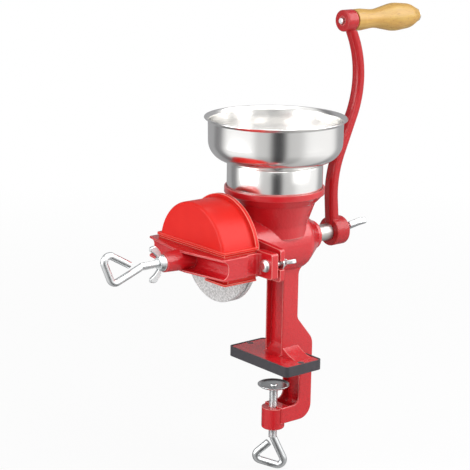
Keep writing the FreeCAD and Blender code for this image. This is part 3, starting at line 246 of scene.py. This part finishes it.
# %% Zinc plate and turned steel
def zinc_plate():
    material, tree = empty_material("bright zinc plate on rolled steel")
    place = add(tree, "TexCoord").outputs["Object"]
    patches = add(tree, "TexNoise", {"Vector": place, "Scale": 1 / (4 * MM), "Detail": 4.0,
                                     "Roughness": 0.6})
    pits = add(tree, "TexNoise", {"Vector": place, "Scale": 1 / (0.6 * MM), "Detail": 2.0})
    colour = add(tree, "Mix", {FACTOR: patches.outputs["Fac"], FIRST: srgb("#D6D9DA"),
                               SECOND: srgb("#EEEFEF")}, data_type="RGBA")
    gloss = add(tree, "MapRange", {"Value": patches.outputs["Fac"], "From Min": 0.3, "From Max": 0.7,
                                   "To Min": 0.28, "To Max": 0.4})
    edges = add(tree, "Bevel", {"Radius": 0.25 * MM}, samples=4)
    rolled = add(tree, "Bump", {"Height": patches.outputs["Fac"], "Distance": 0.05 * MM, "Strength": 0.3,
                                "Normal": edges.outputs[0]})
    skin = add(tree, "Bump", {"Height": pits.outputs["Fac"], "Distance": 0.01 * MM, "Strength": 0.3,
                              "Normal": rolled.outputs[0]})
    shader = add(tree, "BsdfPrincipled", {"Base Color": colour.outputs[BLEND], "Metallic": 1.0,
                                          "Roughness": gloss.outputs[0], "Normal": skin.outputs[0]})
    add(tree, "OutputMaterial", {"Surface": shader.outputs[0]})
    return material


def turned_steel():
    material, tree = empty_material("turned mild steel")
    place = add(tree, "TexCoord").outputs["Object"]
    squeezed = add(tree, "Mapping", {"Vector": place, "Scale": (1 / (0.35 * MM), 9, 9)})
    rings = add(tree, "TexNoise", {"Vector": squeezed.outputs[0], "Scale": 1.0, "Detail": 2.0})
    gloss = add(tree, "MapRange", {"Value": rings.outputs["Fac"], "To Min": 0.36, "To Max": 0.55})
    cuts = add(tree, "Bump", {"Height": rings.outputs["Fac"], "Distance": 0.02 * MM, "Strength": 0.6})
    shader = add(tree, "BsdfPrincipled", {"Base Color": srgb("#BFBEBB"), "Metallic": 1.0,
                                          "Roughness": gloss.outputs[0], "Normal": cuts.outputs[0]})
    add(tree, "OutputMaterial", {"Surface": shader.outputs[0]})
    return material


zinc = zinc_plate()
shaft_steel = turned_steel()
print("made", zinc.name, "and", shaft_steel.name)

# %% [markdown]
# ## Bare cast iron
# The burrs are left as cast and then tumbled, because paint would end up in the flour. Bare iron is a
# light, dull grey with a sparkle from its crystals and darker specks of graphite. It is less than fully
# metallic to the eye, since its rough skin scatters light like stone. Two noises make the specks and
# the grain, at about one millimetre and four millimetres.

# %% Burr iron
def bare_iron():
    material, tree = empty_material("bare tumbled cast iron")
    place = add(tree, "TexCoord").outputs["Object"]
    specks = add(tree, "TexNoise", {"Vector": place, "Scale": 1 / (1.8 * MM), "Detail": 4.0,
                                    "Roughness": 0.7})
    clouds = add(tree, "TexNoise", {"Vector": place, "Scale": 1 / (4.5 * MM), "Detail": 2.0})
    sharp = add(tree, "MapRange", {"Value": specks.outputs["Fac"], "From Min": 0.36, "From Max": 0.62})
    grey = add(tree, "Mix", {FACTOR: clouds.outputs["Fac"], FIRST: srgb("#D6D6D5"),
                             SECOND: srgb("#ECECEC")}, data_type="RGBA")
    colour = add(tree, "Mix", {FACTOR: sharp.outputs[0], FIRST: srgb("#A2A2A1"),
                               SECOND: grey.outputs[BLEND]}, data_type="RGBA")
    edges = add(tree, "Bevel", {"Radius": 0.4 * MM}, samples=4)
    grain = add(tree, "Bump", {"Height": specks.outputs["Fac"], "Distance": 0.18 * MM, "Strength": 0.6,
                               "Normal": edges.outputs[0]})
    shader = add(tree, "BsdfPrincipled", {"Base Color": colour.outputs[BLEND], "Metallic": 0.35,
                                          "Roughness": 0.5, "Normal": grain.outputs[0]})
    add(tree, "OutputMaterial", {"Surface": shader.outputs[0]})
    return material


burr_iron = bare_iron()
print("made", burr_iron.name)

# %% [markdown]
# ## Moulded rubber
# The pad that keeps the base from marking a table is black rubber, dull, with a bloom that turns it
# grey where light grazes it. Sheen gives the bloom, and a fine noise the skin that the mould leaves.

# %% Rubber
def moulded_rubber():
    material, tree = empty_material("moulded black rubber")
    place = add(tree, "TexCoord").outputs["Object"]
    bloom = add(tree, "TexNoise", {"Vector": place, "Scale": 1 / (9 * MM), "Detail": 3.0})
    skin = add(tree, "TexNoise", {"Vector": place, "Scale": 1 / (0.6 * MM), "Detail": 2.0})
    colour = add(tree, "Mix", {FACTOR: bloom.outputs["Fac"], FIRST: srgb("#2B292E"),
                               SECOND: srgb("#3A373D")}, data_type="RGBA")
    edges = add(tree, "Bevel", {"Radius": 0.5 * MM}, samples=4)
    grain = add(tree, "Bump", {"Height": skin.outputs["Fac"], "Distance": 0.05 * MM, "Strength": 0.6,
                               "Normal": edges.outputs[0]})
    shader = add(tree, "BsdfPrincipled", {"Base Color": colour.outputs[BLEND], "Roughness": 0.62,
                                          "IOR": 1.52, "Sheen Weight": 0.15, "Sheen Roughness": 0.4,
                                          "Normal": grain.outputs[0]})
    add(tree, "OutputMaterial", {"Surface": shader.outputs[0]})
    return material


rubber = moulded_rubber()
print("made", rubber.name)

# %% [markdown]
# ## Varnished wood
# The grip is turned from a pale hardwood and varnished. Its grain runs along the lathe's axis, so a
# noise is stretched along X until its streaks are nearly fifty times longer than they are wide. Broader
# bands warm the colour, and a third noise, cut to thin dark strokes, stands for the pores. The varnish
# is a thin coat, which keeps its gloss smooth over the grain.

# %% Wood
def varnished_wood():
    material, tree = empty_material("turned and varnished hardwood")
    place = add(tree, "TexCoord").outputs["Object"]
    along = add(tree, "Mapping", {"Vector": place, "Scale": (9, 420, 420)})
    grain = add(tree, "TexNoise", {"Vector": along.outputs[0], "Scale": 1.0, "Detail": 4.0,
                                   "Distortion": 0.6})
    broad = add(tree, "Mapping", {"Vector": place, "Scale": (5, 110, 110)})
    bands = add(tree, "TexNoise", {"Vector": broad.outputs[0], "Scale": 1.0, "Detail": 2.0})
    fine = add(tree, "Mapping", {"Vector": place, "Scale": (60, 1500, 1500)})
    strokes = add(tree, "TexNoise", {"Vector": fine.outputs[0], "Scale": 1.0, "Detail": 1.0})
    pores = add(tree, "MapRange", {"Value": strokes.outputs["Fac"], "From Min": 0.62, "From Max": 0.72})
    pale = add(tree, "Mix", {FACTOR: grain.outputs["Fac"], FIRST: srgb("#A07430"),
                             SECOND: srgb("#D0AC58")}, data_type="RGBA")
    warm = add(tree, "MapRange", {"Value": bands.outputs["Fac"], "From Min": 0.35, "From Max": 0.65,
                                  "To Max": 0.55})
    honey = add(tree, "Mix", {FACTOR: warm.outputs[0], FIRST: pale.outputs[BLEND],
                              SECOND: srgb("#BE8C38")}, data_type="RGBA")
    dark = add(tree, "Mix", {FACTOR: pores.outputs[0], FIRST: honey.outputs[BLEND],
                             SECOND: srgb("#9A6B34")}, data_type="RGBA")
    relief = add(tree, "Bump", {"Height": grain.outputs["Fac"], "Distance": 0.06 * MM, "Strength": 0.4})
    shader = add(tree, "BsdfPrincipled", {"Base Color": dark.outputs[BLEND], "Roughness": 0.42, "IOR": 1.5,
                                          "Coat Weight": 0.25, "Coat Roughness": 0.3,
                                          "Normal": relief.outputs[0]})
    add(tree, "OutputMaterial", {"Surface": shader.outputs[0]})
    return material


wood = varnished_wood()
print("made", wood.name)

# %% [markdown]
# ## Every solid part gets its finish
# The record names one material slot for each part. A table from slot to finish dresses them all, so a
# part can't be forgotten: a slot without a finish would stop the script. Two parts then get a finish of
# their own: the crank its deeper red, which is painted shade, and the washer at the grip's tip plain
# steel.

# %% Dress the solid parts
FINISH = {
    "red_casting": enamel,
    "red_cover": cover_plastic,
    "polished_steel": hopper_steel,
    "rubber_pad": rubber,
    "burr_iron": burr_iron,
    "bright_steel": shaft_steel,
    "zinc_steel": zinc,
    "varnished_wood": wood,
}
slot_of = {part["node"]: part["material_slot"] for part in frame["record"]["subparts"]}
bodies = frame["record"]["behaviour"]["bodies"]
body_of = {node: body for body, members in bodies.items() for node in members}
for name, slot in slot_of.items():
    nodes[name].material_slots[0].material = FINISH[slot]
# The crank's deeper red is painted shade.
nodes["crank_arm"].material_slots[0].material = shaded_crank_enamel
nodes["handle_end_washer"].material_slots[0].material = shaft_steel
print("dressed", len(slot_of), "parts in", len(FINISH), "finishes")

# %% [markdown]
# ## From a bmesh to a piece
# Each new piece below is shaped with bmesh operators. What follows is always the same: merge doubles,
# turn all faces outwards, mark the edges that should stay crisp, and hand the mesh to an object that
# rides on one of the mill's moving bodies. So it is written once.

# %% Finish a piece
MERGE = 0.002 * MM
CRISP = math.radians(38)


def make_piece(bm, name, stands_for):
    """Turns a bmesh into an object with the finish and the body of the solid part it stands for."""
    bmesh.ops.remove_doubles(bm, verts=bm.verts, dist=MERGE)
    bmesh.ops.recalc_face_normals(bm, faces=bm.faces)
    for edge in bm.edges:
        edge.smooth = len(edge.link_faces) == 2 and edge.calc_face_angle(0) < CRISP
    for face in bm.faces:
        face.smooth = True
    mesh = bpy.data.meshes.new(name)
    bm.to_mesh(mesh)
    bm.free()
    piece = bpy.data.objects.new(name, mesh)
    scene.collection.objects.link(piece)
    mesh.materials.append(FINISH[slot_of[stands_for]])
    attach(piece, body_of[stands_for])
    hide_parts(stands_for)
    print(name, "has", len(mesh.polygons), "faces")


# %% [markdown]
# ## The spun hopper
# A metal spinner presses a flat disc over a form on a lathe, so the hopper is one outline turned about
# its axis. Here the outline is a closed loop of edges through the sheet: inner wall, rolled rim and
# outer wall. Bevelling a vertex of a wire rounds it, exactly as the spinner's roller does, and one full
# spin makes the sheet. It stands for the CAD hopper because a mirror finish needs an even mesh: long
# thin triangles would bend its reflections.

# %% Outline and spin
SEGMENT = 1.2


def draw_outline(bm, corners):
    """A closed loop of edges in the XZ plane through corners (x, z, rounding), in mm."""
    spots = [bm.verts.new((x * MM, 0, z * MM)) for x, z, _ in corners]
    for here, there in zip(spots, spots[1:] + spots[:1]):
        bm.edges.new((here, there))
    for spot, (_, _, rounding) in zip(spots, corners):
        to_one, to_other = [edge.other_vert(spot).co - spot.co for edge in spot.link_edges]
        turn = math.pi - to_one.angle(to_other)
        reach = rounding * MM * math.tan(turn / 2)
        steps = max(2, round(rounding / SEGMENT))
        bmesh.ops.bevel(bm, geom=[spot], offset=reach, offset_type="OFFSET", segments=steps,
                        profile=0.5, affect="VERTICES", material=-1)


def spin_about_z(bm, steps):
    bmesh.ops.spin(bm, geom=bm.verts[:] + bm.edges[:], cent=(0, 0, 0), axis=(0, 0, 1),
                   angle=2 * math.pi, steps=steps, use_merge=True)


hopper_low, hopper_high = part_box("hopper")
foot, rim = hopper_low.z / MM, hopper_high.z / MM
wall = 0.9
neck, waist, bowl, lip = 50.3, 48.6, 70.0, 75.0  # outer radii
bowl_floor = rim - 45.7
bowl_rounding = 21
sheet = bmesh.new()
draw_outline(sheet, [
    (neck, foot, 0.4), (neck, bowl_floor - 1.8, 1.5), (waist, bowl_floor - 1.3, 0.5),
    (waist, bowl_floor, 0.6), (bowl, bowl_floor, bowl_rounding), (bowl + 0.8, rim - 4.1, 1.2),
    (lip - 0.9, rim - 1.6, 0.6), (lip, rim - 1.1, 0.6), (lip - 0.5, rim, 0.6), (lip - 2.6, rim - 0.1, 0.8),
    (bowl + 0.8 - wall, rim - 3.6, 1.6), (bowl - wall, bowl_floor + wall, bowl_rounding - wall),
    (waist - wall, bowl_floor + wall, 1.2), (waist - wall, bowl_floor - 2.2, 0.4),
    (neck - wall, bowl_floor - 2.7, 0.5), (neck - wall, foot, 0.4),
])
spin_about_z(sheet, 128)
make_piece(sheet, "spun_hopper", "hopper")

# %% [markdown]
# ## Rolled threads
# The clamp screw and the burr screw are rolled threads. A thread is a zigzag outline that climbs by one
# pitch in one turn, and `bmesh.ops.spin` does just that when each step is also given a small shift
# along the axis. After a full turn the zigzag lands on itself, one pitch up, so merging the doubles
# closes the seam. Both ends come out ragged and are cut square with `bisect_plane`, which is what the
# rolling mill's saw does too.

# %% A threaded rod
def thread(start, end, crest, depth, pitch):
    """A threaded rod along +Z from start to end, in mm, with square ends."""
    steps = 28
    bm = bmesh.new()
    # Each corner of the tooth is a share of the pitch and a drop from the crest.
    tooth = ((0.0, -depth), (0.32, 0.0), (0.5, 0.0), (0.82, -depth))
    turns = round((end - start) / pitch) + 3
    low = start - 1.5 * pitch
    zigzag = [bm.verts.new(((crest + drop) * MM, 0, (low + (turn + share) * pitch) * MM))
              for turn in range(turns) for share, drop in tooth]
    for here, there in zip(zigzag, zigzag[1:]):
        bm.edges.new((here, there))
    bmesh.ops.spin(bm, geom=bm.verts[:] + bm.edges[:], cent=(0, 0, 0), axis=(0, 0, 1),
                   dvec=(0, 0, pitch * MM / steps), angle=2 * math.pi, steps=steps)
    bmesh.ops.remove_doubles(bm, verts=bm.verts, dist=0.005 * MM)
    for height, side in ((start, -1), (end, 1)):
        cut = bmesh.ops.bisect_plane(bm, geom=bm.verts[:] + bm.edges[:] + bm.faces[:], clear_outer=True,
                                     plane_co=(0, 0, height * MM), plane_no=(0, 0, side))
        rim_edges = [item for item in cut["geom_cut"] if isinstance(item, bmesh.types.BMEdge)]
        bmesh.ops.edgeloop_fill(bm, edges=rim_edges)
    return bm


def keep_beyond(node, point, direction):
    """A merged copy of a solid part's mesh, cut by a plane and closed, without what is behind it."""
    bm = bmesh.new()
    bm.from_mesh(nodes[node].data)
    bmesh.ops.remove_doubles(bm, verts=bm.verts, dist=MERGE)
    cut = bmesh.ops.bisect_plane(bm, geom=bm.verts[:] + bm.edges[:] + bm.faces[:], plane_co=point,
                                 plane_no=direction, clear_inner=True)
    rim_edges = [item for item in cut["geom_cut"] if isinstance(item, bmesh.types.BMEdge)]
    bmesh.ops.edgeloop_fill(bm, edges=rim_edges)
    return bm


CLAMP_AXIS = Vector((5, 0, 0)) * MM
OVERLAP = 0.5
clamp_low, clamp_high = -86.0, -27.6
clamp_rod = thread(clamp_low, clamp_high, crest=4.6, depth=0.85, pitch=1.75)
bmesh.ops.translate(clamp_rod, vec=CLAMP_AXIS, verts=clamp_rod.verts)
make_piece(clamp_rod, "clamp_rod", "clamp_screw")
loop_cut = Vector((0, 0, clamp_low + OVERLAP)) * MM
make_piece(keep_beyond("clamp_screw", loop_cut, (0, 0, -1)), "clamp_loop", "clamp_screw")
rivet_cut = Vector((0, 0, clamp_high - 0.1)) * MM
make_piece(keep_beyond("clamp_screw", rivet_cut, (0, 0, 1)), "clamp_rivet", "clamp_screw")

# %% [markdown]
# The burr screw lies along X, so the same rod is made upright and then laid over with one rotation.

# %% The burr screw
SHAFT_AXIS = Vector((0, 0, 134.5)) * MM
burr_inner, burr_outer = 101.0, 173.0
burr_rod = thread(burr_inner, burr_outer, crest=3.8, depth=0.7, pitch=1.25)
lay_down = Matrix.Rotation(math.radians(-90), 3, "Y")
bmesh.ops.rotate(burr_rod, cent=(0, 0, 0), matrix=lay_down, verts=burr_rod.verts)
bmesh.ops.translate(burr_rod, vec=SHAFT_AXIS, verts=burr_rod.verts)
make_piece(burr_rod, "burr_screw_rod", "adjusting_screw")
loop_cut = Vector((OVERLAP - burr_outer, 0, 0)) * MM
make_piece(keep_beyond("adjusting_screw", loop_cut, (-1, 0, 0)), "burr_screw_loop", "adjusting_screw")

# %% [markdown]
# ## The studio
# The mill hangs in the light of a plain white studio. The floor lies just under the clamp's loop. It is
# pale, and it takes the mill's shadow, but the camera should see it melt into a white background. Its
# shape is only a large disc. The work is in its material, where Light Path tells which ray is asking.

# %% Floor
clearance = 3 * MM
floor_radius = 9.0
floor_height = cad_low.z - clearance
floor_bm = bmesh.new()
bmesh.ops.create_circle(floor_bm, cap_ends=True, segments=64, radius=floor_radius)
bmesh.ops.translate(floor_bm, vec=(0, 0, floor_height), verts=floor_bm.verts)
floor_mesh = bpy.data.meshes.new("floor")
floor_bm.to_mesh(floor_mesh)
floor_bm.free()
floor = bpy.data.objects.new("floor", floor_mesh)
scene.collection.objects.link(floor)
floor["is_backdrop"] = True
print("floor at", round(floor_height / MM, 1), "mm")

# %% [markdown]
# Polished steel needs something dark to mirror, or it looks like paper. So mirror rays see what a real
# studio has: a white card on each side, grey between them, and the unlit corner behind the camera. Each
# is a soft-edged patch of compass directions, turned from the camera's side by so many degrees.

# %% What polished metal mirrors
CAMERA_SIDE = -130.7
FRONT, BEHIND, CARD, GAP, UNLIT = "#D0D0D0", "#A8A8AA", "#FFFFFF", "#808082", "#38383A"
# Each patch: degrees from the camera's side, half width that is full, half width that it fades to, shade.
PATCHES = {"card on the left": (-64, 22, 34, CARD), "card on the right": (86, 20, 46, CARD),
           "gap beside the left card": (-113, 7, 15, GAP), "dark behind the camera": (5.5, 5, 17, UNLIT)}


def patch(tree, direction, middle, inner, outer):
    """1 within the inner angle of a compass direction and 0 beyond the outer one, in degrees."""
    level = add(tree, "VectorMath", {0: direction, 1: (1, 1, 0)}, operation="MULTIPLY")
    unit = add(tree, "VectorMath", {0: level.outputs[0]}, operation="NORMALIZE")
    towards = (math.cos(math.radians(middle)), math.sin(math.radians(middle)), 0)
    facing = add(tree, "VectorMath", {0: unit.outputs[0], 1: towards}, operation="DOT_PRODUCT")
    soft = add(tree, "MapRange", {"Value": facing.outputs["Value"],
                                  "From Min": math.cos(math.radians(outer)),
                                  "From Max": math.cos(math.radians(inner))},
               interpolation_type="SMOOTHSTEP")
    return soft.outputs[0]


def mirrored_studio(tree, direction):
    """What polished metal sees in each direction of the studio."""
    in_front = patch(tree, direction, CAMERA_SIDE, 98, 122)
    colour = add(tree, "Mix", {FACTOR: in_front, FIRST: srgb(BEHIND),
                               SECOND: srgb(FRONT)}, data_type="RGBA").outputs[BLEND]
    for turned, inner, outer, shade in PATCHES.values():
        here = patch(tree, direction, CAMERA_SIDE + turned, inner, outer)
        colour = add(tree, "Mix", {FACTOR: here, FIRST: colour,
                                   SECOND: srgb(shade)}, data_type="RGBA").outputs[BLEND]
    return colour


print("metal mirrors:", ", ".join(PATCHES))

# %% [markdown]
# The floor's paper has three faces. The camera sees the lit paper near the mill, with its shadow, and an
# even white further out. Mirrors see the studio's cards, darker under the mill, where the mill itself
# keeps the light off. Light that bounces off the paper sees plain pale paper.

# %% Floor paper
def pale_floor():
    material, tree = empty_material("matt white studio paper")
    place = add(tree, "TexCoord").outputs["Object"]
    ray = add(tree, "LightPath")
    fibres = add(tree, "TexNoise", {"Vector": place, "Scale": 1 / (3 * MM), "Detail": 2.0})
    grain = add(tree, "Bump", {"Height": fibres.outputs["Fac"], "Distance": 0.05 * MM, "Strength": 0.2})
    paper = add(tree, "BsdfDiffuse", {"Color": srgb("#E6E6E6"), "Normal": grain.outputs[0]})
    away = add(tree, "VectorMath", {0: place}, operation="LENGTH").outputs["Value"]
    far = add(tree, "MapRange", {"Value": away, "From Min": 0.3, "From Max": 1.5, "To Min": 0.9})
    open_floor = add(tree, "MapRange", {"Value": away, "From Min": 0.15, "From Max": 0.7, "To Min": 0.5})
    mirrored = add(tree, "Mix", {FACTOR: open_floor.outputs[0], FIRST: srgb("#000000"),
                                 SECOND: mirrored_studio(tree, place)}, data_type="RGBA")
    colour = add(tree, "Mix", {FACTOR: ray.outputs["Is Camera Ray"], FIRST: mirrored.outputs[BLEND],
                               SECOND: srgb("#FFFFFF")}, data_type="RGBA")
    glow = add(tree, "Emission", {"Color": colour.outputs[BLEND]})
    seen = add(tree, "Math", {0: ray.outputs["Is Camera Ray"], 1: far.outputs[0]}, operation="MULTIPLY")
    shiny = add(tree, "Math", {0: ray.outputs["Is Glossy Ray"], 1: ray.outputs["Is Transmission Ray"]},
                operation="MAXIMUM")
    share = add(tree, "Math", {0: seen.outputs[0], 1: shiny.outputs[0]}, operation="MAXIMUM")
    mixed = add(tree, "MixShader", {0: share.outputs[0], 1: paper.outputs[0], 2: glow.outputs[0]})
    add(tree, "OutputMaterial", {"Surface": mixed.outputs[0]})
    return material


paper = pale_floor()
floor.data.materials.append(paper)
print("made", paper.name)

# %% [markdown]
# The world does the same above the floor: white to the camera, the studio's cards and corners to
# mirrors, with one more card overhead, and a plain, even grey for everything that it lights.

# %% World
WORLD_LIGHT = 0.16
world = bpy.data.worlds.new("white studio")
scene.world = world
world.use_nodes = True
world.node_tree.nodes.clear()
tree = world.node_tree
ray = add(tree, "LightPath")
lit = add(tree, "Background", {"Color": srgb("#FFFFFF"), "Strength": WORLD_LIGHT})
direction = add(tree, "TexCoord").outputs["Generated"]
height = add(tree, "SeparateXYZ", {0: direction}).outputs["Z"]
overhead = add(tree, "MapRange", {"Value": height, "From Min": 0.72, "From Max": 0.88},
               interpolation_type="SMOOTHSTEP")
above = add(tree, "Mix", {FACTOR: overhead.outputs[0], FIRST: mirrored_studio(tree, direction),
                          SECOND: srgb(CARD)}, data_type="RGBA")
mirrored = add(tree, "Background", {"Color": above.outputs[BLEND]})
plain = add(tree, "Background", {"Color": srgb("#FFFFFF")})
shiny = add(tree, "Math", {0: ray.outputs["Is Glossy Ray"], 1: ray.outputs["Is Transmission Ray"]},
            operation="MAXIMUM")
inner_mix = add(tree, "MixShader", {0: shiny.outputs[0], 1: lit.outputs[0], 2: mirrored.outputs[0]})
outer_mix = add(tree, "MixShader", {0: ray.outputs["Is Camera Ray"], 1: inner_mix.outputs[0],
                                    2: plain.outputs[0]})
add(tree, "OutputWorld", {"Surface": outer_mix.outputs[0]})
print("world lights at", WORLD_LIGHT, "and shows white")

# %% [markdown]
# Five soft boxes light the mill. The strongest stands high to the camera's right, with a weak, low one
# under it for the faces that look down. One over the camera reaches into the hollow of the stand, one
# low on the left throws the hopper's shadow on the crank, and one hangs above. Each aims at the middle
# of the mill. They are large, so that polished steel mirrors them as soft fields, and their power is
# set so that a colour that faces the strong one comes out about as it is written.

# %% Lamps
MIDDLE = Vector((-10, 0, 120)) * MM


def soft_box(name, azimuth, elevation, distance, size, watts):
    """A square lamp in a direction given in degrees, aimed at the middle of the mill."""
    lamp = bpy.data.lights.new(name, "AREA")
    lamp.shape = "SQUARE"
    lamp.size = size
    lamp.energy = watts
    holder = bpy.data.objects.new(name, lamp)
    scene.collection.objects.link(holder)
    turned, raised = math.radians(azimuth), math.radians(elevation)
    level = math.cos(raised)
    out = Vector((math.cos(turned) * level, math.sin(turned) * level, math.sin(raised)))
    holder.location = MIDDLE + out * distance
    holder.rotation_euler = out.to_track_quat("Z", "Y").to_euler()


soft_box("right_soft_box", azimuth=-46, elevation=38, distance=1.7, size=1.7, watts=29)
soft_box("low_soft_box", azimuth=-66, elevation=16, distance=1.5, size=1.3, watts=3)
soft_box("front_soft_box", azimuth=-122, elevation=34, distance=1.5, size=1.1, watts=9)
soft_box("left_soft_box", azimuth=166, elevation=12, distance=1.2, size=0.9, watts=9.5)
soft_box("top_soft_box", azimuth=-125, elevation=76, distance=1.5, size=1.2, watts=4)
print(len(bpy.data.lights), "soft boxes")

# %% [markdown]
# ## The camera
# The photograph was taken from the front left, a little above the hopper's rim, with a long lens, which
# is why the near and far sides of the hopper look almost the same width. The camera's place follows from
# points that show in the picture: hopper rim, shaft, plate corners and grip. Its distance is 1.69 m and
# its lens 122.6 mm on a 36 mm sensor. It leans by less than a degree.

# %% Camera
AZIMUTH, PITCH, LEAN = math.radians(-39.3), math.radians(14.08), math.radians(0.91)
DISTANCE = 1688.89 * MM
PICTURE_WIDTH, FOCAL_LENGTH = 470, 1600  # both in pixels
SENSOR = 36
look_across, look_height = -40.6 * MM, 141.25 * MM
level_right = Vector((math.cos(AZIMUTH), math.sin(AZIMUTH), 0))
level_back = Vector((math.sin(AZIMUTH), -math.cos(AZIMUTH), 0))
back = math.cos(PITCH) * level_back + Vector((0, 0, math.sin(PITCH)))
level_up = back.cross(level_right)
right = math.cos(LEAN) * level_right + math.sin(LEAN) * level_up
up = -math.sin(LEAN) * level_right + math.cos(LEAN) * level_up
spot = look_across * level_right + Vector((0, 0, look_height)) + DISTANCE * back
lens = bpy.data.cameras.new("camera")
lens.sensor_width = SENSOR
lens.lens = FOCAL_LENGTH / PICTURE_WIDTH * SENSOR
lens.clip_start, lens.clip_end = 0.05, 60
camera = bpy.data.objects.new("camera", lens)
camera.matrix_world = Matrix((
    (right.x, up.x, back.x, spot.x),
    (right.y, up.y, back.y, spot.y),
    (right.z, up.z, back.z, spot.z),
    (0, 0, 0, 1),
))
scene.collection.objects.link(camera)
scene.camera = camera
scene.view_settings.view_transform = "Standard"
print("camera at", [round(v / MM) for v in spot], "mm")

# %% [markdown]
# ## Last look at the size
# The dressed mill has to stay inside the solid one's box. Both boxes are measured, and how far the
# dressed one differs from the solid one is printed.

# %% Compare the sizes and finish
low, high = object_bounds()
differences = [round((a - b) / MM, 2) for a, b in zip([*low, *high], [*cad_low, *cad_high])]
print("visual box differs by", differences, "mm")
